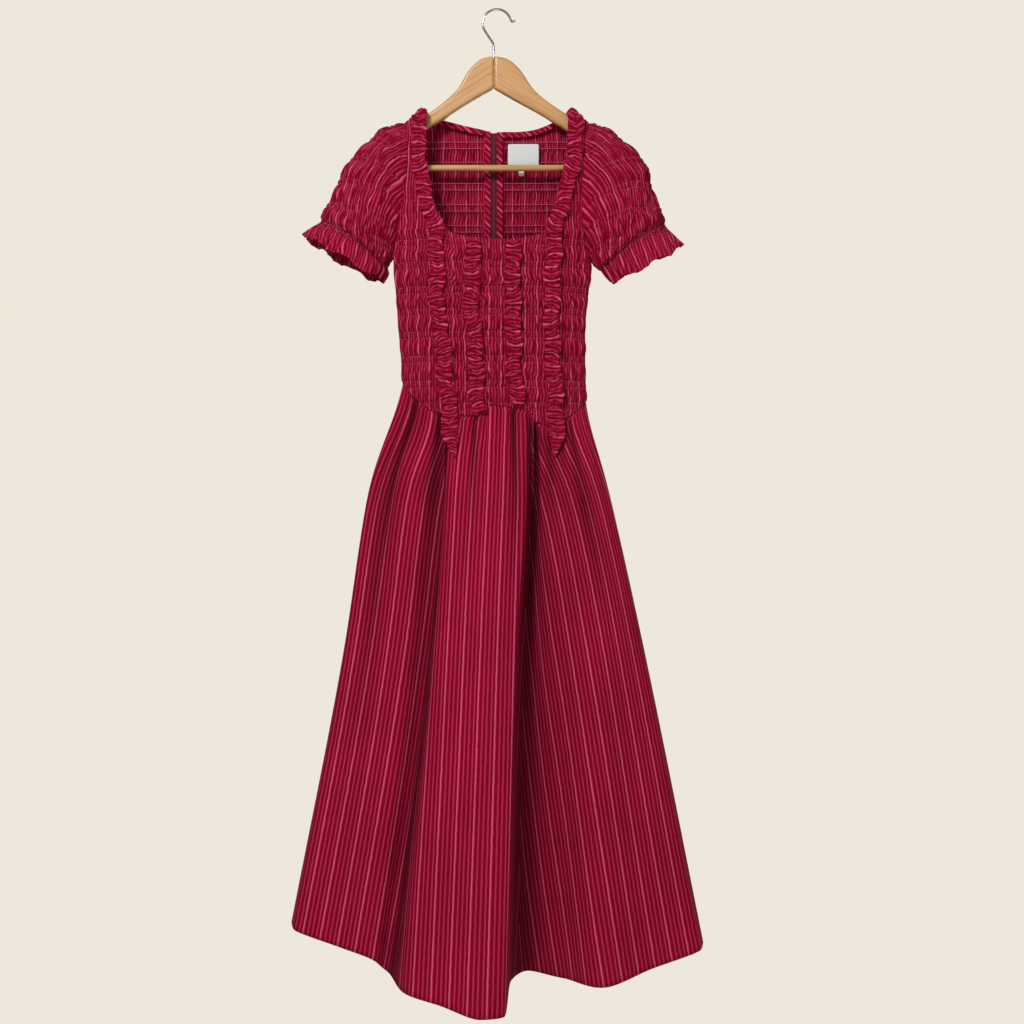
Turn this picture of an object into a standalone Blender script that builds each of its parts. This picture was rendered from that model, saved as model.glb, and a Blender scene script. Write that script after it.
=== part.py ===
"""Ruffle midi dress on a wooden hanger, as a Blender model.

The dress hangs by the inside top of the hanger's hook, which is the origin. Its front faces -Y,
+Z is up, and left and right are the viewer's, seen from the front. Tables are in millimetres, and
heights are drops below the origin, so a drop of 500 is z = -0.5 m.
"""

import math

import bmesh
import bpy
import numpy as np
from mathutils import Matrix, Vector
from mathutils.bvhtree import BVHTree

MM = 0.001
SEAM_GAP = 0.4
ARMHOLE_GAP = 0.9
WAIST_LAP = 3.0
WAIST_TUCK = 2.6
WAIST_CORNER = 1.6
CLOTH = 1.5
RUFFLE_CLOTH = 1.2
TRIM_CLOTH = 1.0

# Shoulders and armholes
NECK_POINT_DROP = 138.0
NECK_POINT_X = 98.5
SHOULDER_TIP_DROP = 157.0
SHOULDER_SLOPE = 0.68
SHOULDER_ARCH = 30.0
SHOULDER_ROWS = (0.0, 4.0, 12.0, 24.0)
UNDERARM_DROP = 343.0
ARM_DEPTH = 17.0
ARM_CLOSING_DROP = 210.0
SECTION_POWER = 2.4
FRONT_NECK_DROP = 317.0
FRONT_NECK_SAG = 4.0

# Shirring of the bodice: the puffs between two rows of elastic, and their small gathers
PUFF_RISE = 2.0
PUFF_GATHER = 0.8
STRAP_PUFF = 0.9
SLEEVE_GATHER = 0.7

# Skirt: where the sections lie between waist and hem, and the gathers under the waist
SKIRT_SECTIONS = (0.0, 0.006, 0.13, 0.44, 1.0)
SEAM_PART = 0.006
HIP_DROP = 648.0
MID_DROP = 880.0
GATHER_RISE = 1.6
GATHER_END = 0.17
GATHER_FREE = 22.0

# Ruffle strips, sewn down along their middle
RUFFLE_HALF = 11.7
RUFFLE_LOW = 1.6
RUFFLE_HIGH = 5.6
RUFFLE_WAVE = 20.0
TAIL_LENGTH = 34.0

# Sleeve: turned-out cuff frill
CUFF_WAVES = 12
CUFF_WAVE_RISE = 5.0

# Zip at the centre back
ZIP_X = -4.7
ZIP_TOP_DROP = 166.0
ZIP_END_DROP = 690.0
ZIP_OPEN_HALF = 4.2
ZIP_TAPE_HALF = 12.0
ZIP_COIL_HALF = 2.6
ZIP_COIL_THICK = 1.2
BINDING_INNER = 4.2
BINDING_OUTER = 12.4
NECK_BINDING = 8.0

# Zip slider and its pull tab
SLIDER_DROP = 172.0
SLIDER_SIZE = (8.4, 3.0, 11.0)
SLIDER_EDGE = 0.6
BAIL_LENGTH = 6.0
BAIL_HEIGHT = 3.6
BAIL_WIRE = 0.55
PULL_AXIS_RISE = 1.3
PULL_AXIS_BELOW = 1.0
PULL_BAR = 0.6
PULL_WINDOW = (1.6, 6.0)
PULL_HALF_WIDTH = 3.2
PULL_LENGTH = 24.0

# Neck label and the small tab under it: left, right, top drop, bottom drop
LABEL_BOX = (15.0, 58.0, 181.0, 213.0)
SIZE_TAB_BOX = (30.0, 37.5, 213.6, 225.0)
LABEL_THICK = 0.8

# Hanger
HANGER_X = -4.0
ARM_THICK = 12.0
ARM_EDGE = 2.0
BAR_DROP = 217.4
BAR_RADIUS = 4.3
BAR_ENDS = (-186.0, 179.0)
FIT_GAP = 0.3
WIRE_RADIUS = 1.65
HOOK_RADIUS = 19.5
HOOK_START = 12
HOOK_STOP = 212
STEM_END_DROP = 84.0

# Front neck edge, then the line that carries on down from it: drop, left, right
NECK_EDGE = (
    (NECK_POINT_DROP, -NECK_POINT_X, NECK_POINT_X),
    (172, -96, 97),
    (197, -97, 95),
    (231, -94, 89),
    (265, -87, 82),
    (290, -76, 77),
    (305, -68, 73),
    (FRONT_NECK_DROP, -63, 67),
    (440, -64, 66),
    (570, -60, 64),
)

# Armhole seam down to the underarm, then the side seam: drop, left, right
BODY_EDGE = (
    (SHOULDER_TIP_DROP, -127, 126),
    (170, -123, 123),
    (193, -122, 119),
    (227, -123, 117),
    (262, -128, 116),
    (289, -134, 117),
    (324, -140, 122),
    (UNDERARM_DROP, -142, 128),
    (354, -142, 130),
    (386, -139, 126),
    (413, -137, 123),
    (441, -135, 121),
    (496, -131, 121),
    (545, -131, 124),
)

# Depth of the bodice in front of and behind the hanger's plane: drop, front, back
BODY_DEPTH = (
    (138, 17, 15),
    (230, 23, 19),
    (300, 28, 24),
    (360, 30, 26),
    (450, 27, 24),
    (560, 24, 22),
)

# Front waist seam, dropped in two shallow points: x, drop
FRONT_WAIST = (
    (-131, 511), (-118, 531), (-87, 555), (-64, 559), (-38, 561), (-16, 558), (-7, 546),
    (18, 550), (41, 553), (55, 570), (70, 575), (96, 564), (124, 538),
)  # fmt: skip

# Back waist seam: x, drop
BACK_WAIST = ((-131, 511), (-90, 524), (-5, 530), (90, 533), (124, 538))

# Top edge of the back, over both shoulders and round the neck: x, drop
BACK_TOP = (
    (-127, 157), (-98.5, 138), (-95, 141), (-90, 143.5), (-74, 148), (-38, 157), (-5, 163),
    (25, 164), (47, 162), (78, 151), (90, 144), (95, 141), (98.5, 138), (126, 157),
)  # fmt: skip

# Folds of the skirt front, left to right, as the line of each crest and hollow:
# waist x, hip x, hip y, middle x, middle y, hem x, hem y, hem drop
FRONT_FOLDS = (
    (-131, -174, 0, -210, 0, -283, 0, 1258),
    (-128, -171, -12, -206, -15, -277, -18, 1263),
    (-113, -148, -24, -170, -31, -212, -40, 1281),
    (-91, -111, -32, -124, -38, -168, -50, 1294),
    (-70, -72, -23, -94, -25, -148, -34, 1316),
    (-61, -65, -34, -80, -52, -122, -84, 1328),
    (-37, -39, -42, -46, -66, -74, -104, 1338),
    (4, 2, -44, -6, -72, -21, -120, 1351),
    (34, 37, -42, 25, -66, 10, -112, 1350),
    (41, 42, -30, 30, -34, 19, -55, 1321),
    (51, 52, -23, 45, -17, 43, -16, 1320),
    (66, 66, -35, 74, -40, 89, -34, 1324),
    (89, 94, -40, 125, -56, 141, -78, 1323),
    (107, 127, -28, 170, -40, 209, -52, 1306),
    (121, 148, -12, 198, -15, 278, -20, 1290),
    (124, 150, 0, 202, 0, 284, 0, 1286),
)

# Folds of the skirt back, with the same columns; the sixth row is the centre seam
BACK_FOLDS = (
    (-131, -174, 0, -210, 0, -283, 0, 1258),
    (-128, -171, 12, -206, 16, -277, 20, 1262),
    (-100, -128, 31, -152, 44, -200, 66, 1275),
    (-72, -90, 25, -104, 31, -134, 38, 1284),
    (-38, -48, 34, -56, 56, -70, 88, 1296),
    (ZIP_X, ZIP_X, 29, ZIP_X, 42, ZIP_X, 58, 1300),
    (30, 38, 35, 44, 58, 58, 90, 1301),
    (64, 80, 26, 92, 32, 120, 40, 1297),
    (94, 122, 32, 150, 46, 200, 68, 1293),
    (121, 148, 12, 198, 16, 278, 20, 1289),
    (124, 150, 0, 202, 0, 284, 0, 1286),
)
CENTRE_FOLD = 5

# Ruffle routes, shoulder or neck to waist or tail: drop, x
OUTER_LEFT_ROUTE = (
    (141, -105), (166, -107), (187, -107), (226, -104), (270, -95), (301, -84), (322, -82),
    (403, -81), (444, -77), (465, -72), (499, -72), (533, -66), (560, -64), (594, -62), (618, -58),
)  # fmt: skip
INNER_LEFT_ROUTE = ((325, -32), (363, -32), (404, -35), (444, -31), (472, -28), (526, -28), (556, -23))
INNER_RIGHT_ROUTE = ((325, 23), (404, 22), (444, 23), (499, 23), (526, 26), (547, 30))
OUTER_RIGHT_ROUTE = (
    (141, 105), (166, 108), (187, 108), (229, 101), (270, 90), (301, 80), (322, 79), (362, 76),
    (444, 75), (499, 77), (533, 80), (560, 80), (587, 81), (618, 80),
)  # fmt: skip

# Sleeve sections after the armhole, out to the frill's edge, each from the outer side of the arm to
# the underarm: outer x, outer drop, under x, under drop, half depth, how far the front edge is lifted
LEFT_SLEEVE = (
    (-153, 164, -145, 344, 24, 0),
    (-181, 188, -146, 346, 30, 0),
    (-205, 214, -148, 348, 30, 0),
    (-217, 239, -149, 350, 34, 0),
    (-226, 261, -150, 352, 31, 0),
    (-235, 274, -151, 353, 34, 1),
    (-241, 291, -152, 355, 28, 2),
    (-255, 302, -152, 363, 33, 8),
    (-268, 313, -161, 376, 37, 15),
)
RIGHT_SLEEVE = (
    (148, 164, 131, 347, 24, 0),
    (179, 187, 133, 350, 30, 0),
    (203, 214, 134, 352, 30, 0),
    (210, 239, 136, 353, 34, 0),
    (216, 259, 138, 355, 31, 0),
    (225, 277, 140, 356, 34, 1),
    (230, 296, 142, 357, 28, 1),
    (243, 313, 150, 367, 32, 4),
    (255, 327, 160, 377, 35, 7),
)

# Outlines of the hanger's two halves: x, drop
LEFT_ARM = (
    (HANGER_X, 64), (-18, 66), (-27, 71), (-39, 83), (-46, 95), (-52, 107), (-62, 118), (-81, 134),
    (-97, 144.5), (-184, 199), (-191, 206), (-194, 216), (-190, 226), (-181, 229), (-170, 222),
    (-101, 166), (-75, 152), (-55, 138), (-29, 122), (HANGER_X, 108),
)  # fmt: skip
RIGHT_ARM = (
    (HANGER_X, 64), (10, 66), (19, 70), (31, 81), (38, 91), (44, 101), (53, 113), (69, 126),
    (86, 138), (102, 147), (175, 194), (183, 201), (186, 211), (185, 221), (180, 228), (172, 229),
    (162, 222), (97, 166), (79, 156), (59, 143), (25, 125), (HANGER_X, 108),
)  # fmt: skip

# Hook wire below its round top, down to the wood: x, drop
HOOK_NECK = ((-11, 37), (-6, 43.5), (HANGER_X, 50), (HANGER_X, STEM_END_DROP))
HOOK_TIP = (25, 14.5)

# Finishes: colour as linear red, green and blue, roughness, metallic
FINISHES = {
    "striped_cotton": ((0.26, 0.006, 0.028), 0.85, 0.0),
    "zip_tape_plum": ((0.09, 0.01, 0.02), 0.8, 0.0),
    "zip_metal": ((0.30, 0.25, 0.27), 0.4, 0.9),
    "label_white": ((0.80, 0.80, 0.79), 0.8, 0.0),
    "beech_wood": ((0.68, 0.42, 0.20), 0.45, 0.0),
    "chromed_wire": ((0.75, 0.75, 0.74), 0.2, 1.0),
}


def spline(knots, values):
    """A smooth curve through the values, with no overshoot between them, as a function."""
    knots = np.array(knots, float)
    values = np.array(values, float)
    rises = np.diff(values) / np.diff(knots)
    turning = rises[1:] * rises[:-1] <= 0
    total = np.where(turning, 1.0, rises[1:] + rises[:-1])
    slopes = np.where(turning, 0.0, 2 * rises[1:] * rises[:-1] / total)
    slopes = np.concatenate((rises[:1], slopes, rises[-1:]))

    def at(place):
        place = min(max(place, knots[0]), knots[-1])
        k = min(int(np.searchsorted(knots, place, side="right")) - 1, len(knots) - 2)
        width = knots[k + 1] - knots[k]
        f = (place - knots[k]) / width
        return float(
            values[k] * (1 + 2 * f) * (1 - f) ** 2
            + values[k + 1] * f * f * (3 - 2 * f)
            + width * (slopes[k] * f * (1 - f) ** 2 - slopes[k + 1] * f * f * (1 - f))
        )

    return at


def column(table, place):
    return [row[place] for row in table]


def spline_of(table, value, knot=0):
    return spline(column(table, knot), column(table, value))


neck_left = spline_of(NECK_EDGE, 1)
neck_right = spline_of(NECK_EDGE, 2)
edge_left = spline_of(BODY_EDGE, 1)
edge_right = spline_of(BODY_EDGE, 2)
front_depth = spline_of(BODY_DEPTH, 1)
back_depth = spline_of(BODY_DEPTH, 2)
front_waist = spline_of(FRONT_WAIST, 1)
back_waist = spline_of(BACK_WAIST, 1)
back_top = spline_of(BACK_TOP, 1)


# Scene, materials and walls


def clear_scene():
    for thing in list(bpy.data.objects):
        bpy.data.objects.remove(thing, do_unlink=True)


def new_collection(name):
    collection = bpy.data.collections.new(name)
    bpy.context.scene.collection.children.link(collection)
    return collection


def finish(name, kind):
    """A material of its own for one object, from the table of finishes."""
    colour, roughness, metallic = FINISHES[kind]
    material = bpy.data.materials.new(f"{name}_{kind}")
    material.use_nodes = True
    shader = material.node_tree.nodes["Principled BSDF"]
    shader.inputs["Base Color"].default_value = (*colour, 1.0)
    shader.inputs["Roughness"].default_value = roughness
    shader.inputs["Metallic"].default_value = metallic
    return material


def add_object(name, mesh, kind, collection):
    made = bpy.data.objects.new(name, mesh)
    collection.objects.link(made)
    made.data.materials.clear()
    made.data.materials.append(finish(name, kind))
    return made


def evaluated_mesh(made):
    bpy.context.view_layer.update()
    return bpy.data.meshes.new_from_object(made.evaluated_get(bpy.context.evaluated_depsgraph_get()))


def facing(surface, u, v, outward):
    """Unit normal of a surface at u, v, on the side that outward points to."""
    step = 0.003
    across = surface(min(u + step, 1), v) - surface(max(u - step, 0), v)
    down = surface(u, min(v + step, 1)) - surface(u, max(v - step, 0))
    normal = across.cross(down)
    if normal.length < 1e-9:
        return outward.normalized()
    normal.normalize()
    return normal if normal.dot(outward) > 0 else -normal


def wall(name, kind, collection, size, surface, normal, thick, raised=None, kept=None, ring=False):
    """A cloth wall on a grid of size (columns, rows), u across and v down, both 0 to 1.

    surface(u, v) gives the outer face in mm, normal(u, v) the way it faces, raised(u, v) how far
    the outer face alone stands up, and kept(u, v) says which faces of the grid are cloth.
    """
    columns, rows = size
    grid = bmesh.new()
    bmesh.ops.create_grid(grid, x_segments=columns, y_segments=rows, size=0.5)
    for vert in grid.verts:
        vert.co = (vert.co.x + 0.5, 0.5 - vert.co.y, 0.0)
    if kept:
        dropped = [f for f in grid.faces if not kept(*f.calc_center_median().to_2d())]
        bmesh.ops.delete(grid, geom=dropped, context="FACES")
    places = grid.verts.layers.float_vector.new("place")
    for vert in grid.verts:
        vert[places] = vert.co
    if ring:
        last = {round(v.co.y * rows): v for v in grid.verts if v.co.x > 1 - 1e-6}
        joins = {last[round(v.co.y * rows)]: v for v in grid.verts if v.co.x < 1e-6}
        for vert in grid.verts:
            angle = 2 * math.pi * vert.co.x
            vert.co = (math.cos(angle), math.sin(angle), vert.co.y)
        bmesh.ops.weld_verts(grid, targetmap=joins)
    flat = bpy.data.meshes.new(name)
    grid.to_mesh(flat)
    grid.free()
    made = add_object(name, flat, kind, collection)
    shell = made.modifiers.new("wall", "SOLIDIFY")
    shell.thickness = 0.01
    shell.offset = -1
    mesh = evaluated_mesh(made)
    made.modifiers.clear()
    outer_count = len(flat.vertices)
    spots = mesh.attributes["place"].data
    for index, vert in enumerate(mesh.vertices):
        u, v = spots[index].vector[0], spots[index].vector[1]
        point = surface(u, v)
        facing_way = normal(u, v)
        if index >= outer_count:
            point = point - facing_way * thick
        elif raised:
            point = point + facing_way * raised(u, v)
        vert.co = point * MM
    face_outwards(mesh)
    mesh.attributes.remove(mesh.attributes["place"])
    made.data = mesh
    made.data.materials.clear()
    made.data.materials.append(finish(name, kind))
    mesh.shade_smooth()
    return made


def face_outwards(mesh):
    body = bmesh.new()
    body.from_mesh(mesh)
    bmesh.ops.triangulate(body, faces=body.faces)
    bmesh.ops.recalc_face_normals(body, faces=body.faces)
    body.to_mesh(mesh)
    body.free()


# The bodice's form


def arch(below_shoulder):
    """How far the cloth has come out from the shoulder line, 0 to 1, a quarter of a round."""
    part = min(max(below_shoulder / SHOULDER_ARCH, 0.0), 1.0)
    return math.sqrt(1 - (1 - part) ** 2)


def shoulder_drop(x):
    return NECK_POINT_DROP + SHOULDER_SLOPE * (abs(x) - NECK_POINT_X)


def arm_edge_depth(drop):
    """Depth of the armhole seam: full at the top, closing to nothing at the underarm."""
    part = max(0.0, (drop - ARM_CLOSING_DROP) / (UNDERARM_DROP - ARM_CLOSING_DROP))
    return ARM_DEPTH * math.sqrt(max(0.0, 1 - part * part))


def body_depth(x, drop, middle_depth):
    """Distance of the body's cloth from the hanger's plane, at an x and a drop."""
    left, right = edge_left(drop), edge_right(drop)
    middle = (left + right) / 2
    share = min(abs(x - middle) / ((right - left) / 2), 1.0)
    edge = arm_edge_depth(drop) ** SECTION_POWER
    full = max(middle_depth(drop) ** SECTION_POWER, edge)
    depth = (edge + (full - edge) * (1 - share**SECTION_POWER)) ** (1 / SECTION_POWER)
    return SEAM_GAP / 2 + depth * arch(drop - shoulder_drop(x))


def front_point(x, drop):
    return Vector((x, -body_depth(x, drop, front_depth), -drop))


def back_point(x, drop):
    return Vector((x, body_depth(x, drop, back_depth), -drop))


# Bodice front

STRAP_COLUMNS = 7
MIDDLE_COLUMNS = 16
FRONT_COLUMNS = 2 * STRAP_COLUMNS + MIDDLE_COLUMNS
STRAP_ROWS = 9
BODICE_ROWS = 14
FRONT_ROWS = STRAP_ROWS + BODICE_ROWS
EDGE_CROWDING = 1.5


def strap_x(edge, neck, part):
    """x on a strap, part 0 at the arm edge to 1 at the neck, with more columns near the edge."""
    return edge + (neck - edge) * part**EDGE_CROWDING


def front_x(at_column, drop):
    edges = edge_left(drop), edge_right(drop)
    necks = neck_left(drop), neck_right(drop)
    if at_column < STRAP_COLUMNS:
        return strap_x(edges[0], necks[0], at_column / STRAP_COLUMNS)
    if at_column > STRAP_COLUMNS + MIDDLE_COLUMNS:
        return strap_x(edges[1], necks[1], (FRONT_COLUMNS - at_column) / STRAP_COLUMNS)
    part = (at_column - STRAP_COLUMNS) / MIDDLE_COLUMNS
    return necks[0] + (necks[1] - necks[0]) * part


def drop_below(top, bottom, at_row, rows):
    """Drop of a row, with rows close together over the bend of the shoulder, then even."""
    bend_rows = len(SHOULDER_ROWS) - 1
    if at_row <= bend_rows:
        return top + float(np.interp(at_row, range(bend_rows + 1), SHOULDER_ROWS))
    start = top + SHOULDER_ROWS[-1]
    return start + (bottom - start) * (at_row - bend_rows) / (rows - bend_rows)


def front_surface(u, v):
    at_column, at_row = u * FRONT_COLUMNS, v * FRONT_ROWS
    middle = min(max((at_column - STRAP_COLUMNS) / MIDDLE_COLUMNS, 0.0), 1.0)
    neck_drop = FRONT_NECK_DROP + FRONT_NECK_SAG * math.sin(math.pi * middle)
    if at_row <= STRAP_ROWS:
        top_x = front_x(at_column, NECK_POINT_DROP)
        top = shoulder_drop(top_x) if abs(top_x) > NECK_POINT_X else NECK_POINT_DROP
        drop = drop_below(top, neck_drop, at_row, STRAP_ROWS)
        x = front_x(at_column, max(drop, SHOULDER_TIP_DROP)) if at_row else top_x
    else:
        seam = front_waist(front_x(at_column, 545.0))
        drop = neck_drop + (seam - neck_drop) * (at_row - STRAP_ROWS) / BODICE_ROWS
        x = front_x(at_column, drop)
    return front_point(x, drop)


def front_kept(u, v):
    in_middle = STRAP_COLUMNS < u * FRONT_COLUMNS < STRAP_COLUMNS + MIDDLE_COLUMNS
    return v * FRONT_ROWS > STRAP_ROWS or not in_middle


def body_normal(surface, front):
    """Facing of a body panel: sideways at its side seams, level at its waist seam."""
    outward = Vector((0, -1 if front else 1, 0.3))

    def normal(u, v):
        way = facing(surface, u, v, outward)
        if v > 1 - 1e-6:
            way.z = 0
        if v < 1e-6 and abs(surface(u, v).y) < 2 * SEAM_GAP:
            way.y = 0
        return way.normalized()

    return normal


def seam_flat(normal, surface, edges):
    """The same facing, turned to the side where the panel meets its neighbour at a side seam."""

    def turned(u, v):
        way = normal(u, v)
        for edge, side in edges:
            if abs(u - edge) < 1e-6 and -surface(u, v).z >= UNDERARM_DROP:
                way = Vector((side, 0, way.z)).normalized()
        return way

    return turned


def front_raised(u, v):
    at_column, at_row = round(u * FRONT_COLUMNS), round(v * FRONT_ROWS)
    at_edge = at_column in (0, FRONT_COLUMNS) or at_row in (STRAP_ROWS, FRONT_ROWS)
    if at_edge or at_row < len(SHOULDER_ROWS) or (at_row - STRAP_ROWS) % 2 == 0:
        return 0.0
    gather = PUFF_GATHER if at_column % 2 else -PUFF_GATHER
    return STRAP_PUFF if at_row < STRAP_ROWS else PUFF_RISE + gather


def build_bodice_front(collection):
    normal = seam_flat(body_normal(front_surface, True), front_surface, ((0, -1), (1, 1)))
    size = (FRONT_COLUMNS, FRONT_ROWS)
    return wall(
        "bodice_front", "striped_cotton", collection, size, front_surface, normal, CLOTH,
        front_raised, front_kept,
    )  # fmt: skip


# Bodice back, in two halves that the zip joins

BACK_COLUMNS = 12
BACK_ROWS = 19


def back_surface(side):
    """Surface of one half of the back, u from the arm edge to the zip; side is -1 left, 1 right."""
    edge = edge_left if side < 0 else edge_right
    zip_edge = ZIP_X + side * ZIP_OPEN_HALF

    def surface(u, v):
        part = u**EDGE_CROWDING
        top = back_top(edge(SHOULDER_TIP_DROP) + (zip_edge - edge(SHOULDER_TIP_DROP)) * part)
        bottom = back_waist(edge(545.0) + (zip_edge - edge(545.0)) * part)
        drop = drop_below(top, bottom, v * BACK_ROWS, BACK_ROWS)
        side_x = edge(max(drop, SHOULDER_TIP_DROP))
        return back_point(side_x + (zip_edge - side_x) * part, drop)

    return surface


def back_raised(u, v):
    at_column, at_row = round(u * BACK_COLUMNS), round(v * BACK_ROWS)
    at_edge = at_column in (0, BACK_COLUMNS) or at_row == BACK_ROWS
    if at_edge or at_row < len(SHOULDER_ROWS) or at_row % 2:
        return 0.0
    return PUFF_RISE + (PUFF_GATHER if at_column % 2 else -PUFF_GATHER)


def build_bodice_back(collection):
    for side, word in ((-1, "left"), (1, "right")):
        surface = back_surface(side)
        normal = seam_flat(body_normal(surface, False), surface, ((0, side),))
        size = (BACK_COLUMNS, BACK_ROWS)
        wall(
            f"bodice_back_{word}", "striped_cotton", collection, size, surface, normal, CLOTH,
            back_raised,
        )  # fmt: skip


# Sleeves

SLEEVE_COLUMNS = 2 * CUFF_WAVES
SLEEVE_SPLITS = (2, 2, 2, 1, 1, 1, 1, 1, 1)
FRILL_START = 6


def armhole_point(side, angle):
    """The armhole seam, angle 0 at the shoulder tip, round by the front to the underarm."""
    half = (UNDERARM_DROP - SHOULDER_TIP_DROP) / 2
    drop = SHOULDER_TIP_DROP + half * (1 - math.cos(angle))
    edge = (edge_left if side < 0 else edge_right)(drop)
    depth = SEAM_GAP / 2 + arm_edge_depth(drop) * arch(drop - SHOULDER_TIP_DROP)
    y = -depth if math.sin(angle) > 0 else depth
    if abs(math.sin(angle)) < 1e-6:
        y = 0.0
    return Vector((edge + side * ARMHOLE_GAP, y, -drop))


def section_point(section, angle):
    """A point on an oval section of the sleeve; the front of a frill's edge is lifted."""
    outer_x, outer_drop, under_x, under_drop, depth, lift = section
    middle = Vector(((outer_x + under_x) / 2, 0, -(outer_drop + under_drop) / 2))
    reach = Vector(((outer_x - under_x) / 2, 0, (under_drop - outer_drop) / 2))
    lift_way = Vector((-outer_x, 0, abs(outer_x))).normalized()
    front = math.sin(angle)
    return middle + reach * math.cos(angle) + Vector((0, -depth * front, 0)) + lift_way * lift * front


def sleeve_surface(side, sections):
    rows = sum(SLEEVE_SPLITS)
    starts = np.cumsum((0, *SLEEVE_SPLITS))

    def surface(u, v):
        angle = 2 * math.pi * u
        at_row = v * rows
        k = min(int(np.searchsorted(starts, at_row + 1e-6, side="right")) - 1, len(sections) - 1)
        near = armhole_point(side, angle) if k == 0 else section_point(sections[k - 1], angle)
        far = section_point(sections[k], angle)
        point = near.lerp(far, (at_row - starts[k]) / SLEEVE_SPLITS[k])
        frill = (at_row - starts[FRILL_START + 1]) / (rows - starts[FRILL_START + 1])
        if frill > 0:
            middle = section_point(sections[k], 0).lerp(section_point(sections[k], math.pi), 0.5)
            wave = math.cos(CUFF_WAVES * angle) * CUFF_WAVE_RISE * frill
            point = point + (point - middle).normalized() * wave
        return point

    return surface


def sleeve_normal(surface, side):
    def normal(u, v):
        angle = 2 * math.pi * u
        outward = Vector((side * math.cos(angle), -math.sin(angle), math.cos(angle)))
        step = 0.003
        across = surface((u + step) % 1, v) - surface((u - step) % 1, v)
        down = surface(u, min(v + step, 1)) - surface(u, max(v - step, 0))
        way = across.cross(down).normalized()
        if way.dot(outward) < 0:
            way = -way
        return way

    return normal


def sleeve_raised(u, v):
    rows = sum(SLEEVE_SPLITS)
    at_column, at_row = round(u * SLEEVE_COLUMNS) % SLEEVE_COLUMNS, round(v * rows)
    frill_row = sum(SLEEVE_SPLITS[: FRILL_START + 1])
    if at_row == 0 or at_row >= frill_row:
        return 0.0
    puff = PUFF_RISE if at_row % 2 else 0.0
    from_underarm = min(max(1.2 * (0.75 + math.cos(2 * math.pi * u)), 0.0), 1.0)
    return (puff + (SLEEVE_GATHER if at_column % 2 else 0.0)) * from_underarm


def build_sleeves(collection):
    for side, word, sections in ((-1, "left", LEFT_SLEEVE), (1, "right", RIGHT_SLEEVE)):
        surface = sleeve_surface(side, sections)
        size = (SLEEVE_COLUMNS, sum(SLEEVE_SPLITS))
        wall(
            f"sleeve_{word}", "striped_cotton", collection, size, surface,
            sleeve_normal(surface, side), CLOTH, sleeve_raised, ring=True,
        )  # fmt: skip


# Skirt

SKIRT_FRONT_COLUMNS = 48
SKIRT_BACK_COLUMNS = 20
SKIRT_ROWS = (0.0, SEAM_PART, 0.03, 0.065, 0.11, 0.17, 0.25, 0.35, 0.47, 0.60, 0.73, 0.87, 1.0)


def row_height(v):
    return float(np.interp(v * (len(SKIRT_ROWS) - 1), range(len(SKIRT_ROWS)), SKIRT_ROWS))


def skirt_surface(folds, waist_drop, body, first, last, centre_side=0):
    """Surface of a skirt panel over folds first to last, hung from the waist seam.

    centre_side moves the panel's edge at the centre seam off the zip, -1 to the left, 1 to the right.
    """
    steps = range(len(folds))
    across = [spline(steps, column(folds, place)) for place in range(8)]

    def surface(u, v):
        fold = first + (last - first) * u
        waist_x, hip_x, hip_y, mid_x, mid_y, hem_x, hem_y, hem_drop = (at(fold) for at in across)
        seam = waist_drop(waist_x) - WAIST_LAP
        waist_x, waist_y = tucked(waist_x, seam, body)
        t = row_height(v)
        lapped = seam + SEAM_PART * (hem_drop - seam)
        drop = spline(SKIRT_SECTIONS, (seam, lapped, HIP_DROP, MID_DROP, hem_drop))(t)
        x = spline(SKIRT_SECTIONS, (waist_x, waist_x, hip_x, mid_x, hem_x))(t)
        y = spline(SKIRT_SECTIONS, (waist_y, waist_y, hip_y, mid_y, hem_y))(t)
        nearness = max(0.0, 1 - abs(fold - CENTRE_FOLD)) if centre_side else 0.0
        x += centre_side * zip_half(drop) * nearness
        gap = SEAM_GAP / 2
        y = max(y, gap) if y > 0 or body is back_point else min(y, -gap)
        return Vector((x, y, -drop))

    return surface


def tucked(x, drop, body):
    """x and y of the skirt's top edge, which lies under the bodice's lower edge."""
    left, right = edge_left(drop), edge_right(drop)
    x = min(max(x, left), right)
    outward = -1 if body is front_point else 1
    share = (x - (left + right) / 2) / ((right - left) / 2)
    if abs(share) > 0.999:
        return x - math.copysign(WAIST_TUCK + WAIST_CORNER, share), outward * SEAM_GAP / 2
    slope = (body(x + 0.1, drop).y - body(x - 0.1, drop).y) / 0.2
    way = Vector((-slope, 1)).normalized() * outward
    return x - way.x * WAIST_TUCK, body(x, drop).y - way.y * WAIST_TUCK


def zip_half(drop):
    """Half the opening at the centre back: wide beside the zip, closed at the seam below it."""
    closing = min(max((drop - ZIP_END_DROP) / (2 * ZIP_TAPE_HALF), 0.0), 1.0)
    return ZIP_OPEN_HALF * (1 - closing) + SEAM_GAP / 2 * closing


def gathered(surface, columns, gather_at):
    """The surface with small gathers under the waist, every second column forward."""
    way = Vector((0, -1 if gather_at == "front" else 1, 0))

    def waved(u, v):
        point = surface(u, v)
        height = row_height(v)
        fade = max(0.0, 1 - height / GATHER_END) if height > SEAM_PART else 0.0
        from_zip = abs(point.x - ZIP_X) - ZIP_TAPE_HALF
        free = 1.0 if gather_at == "front" else min(max(from_zip / GATHER_FREE, 0.0), 1.0)
        at_edge = min(u, 1 - u) < 0.5 / columns
        odd = round(u * columns) % 2
        if at_edge:
            return point
        return point + way * GATHER_RISE * fade * free * (1 if odd else -1)

    return waved


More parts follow.
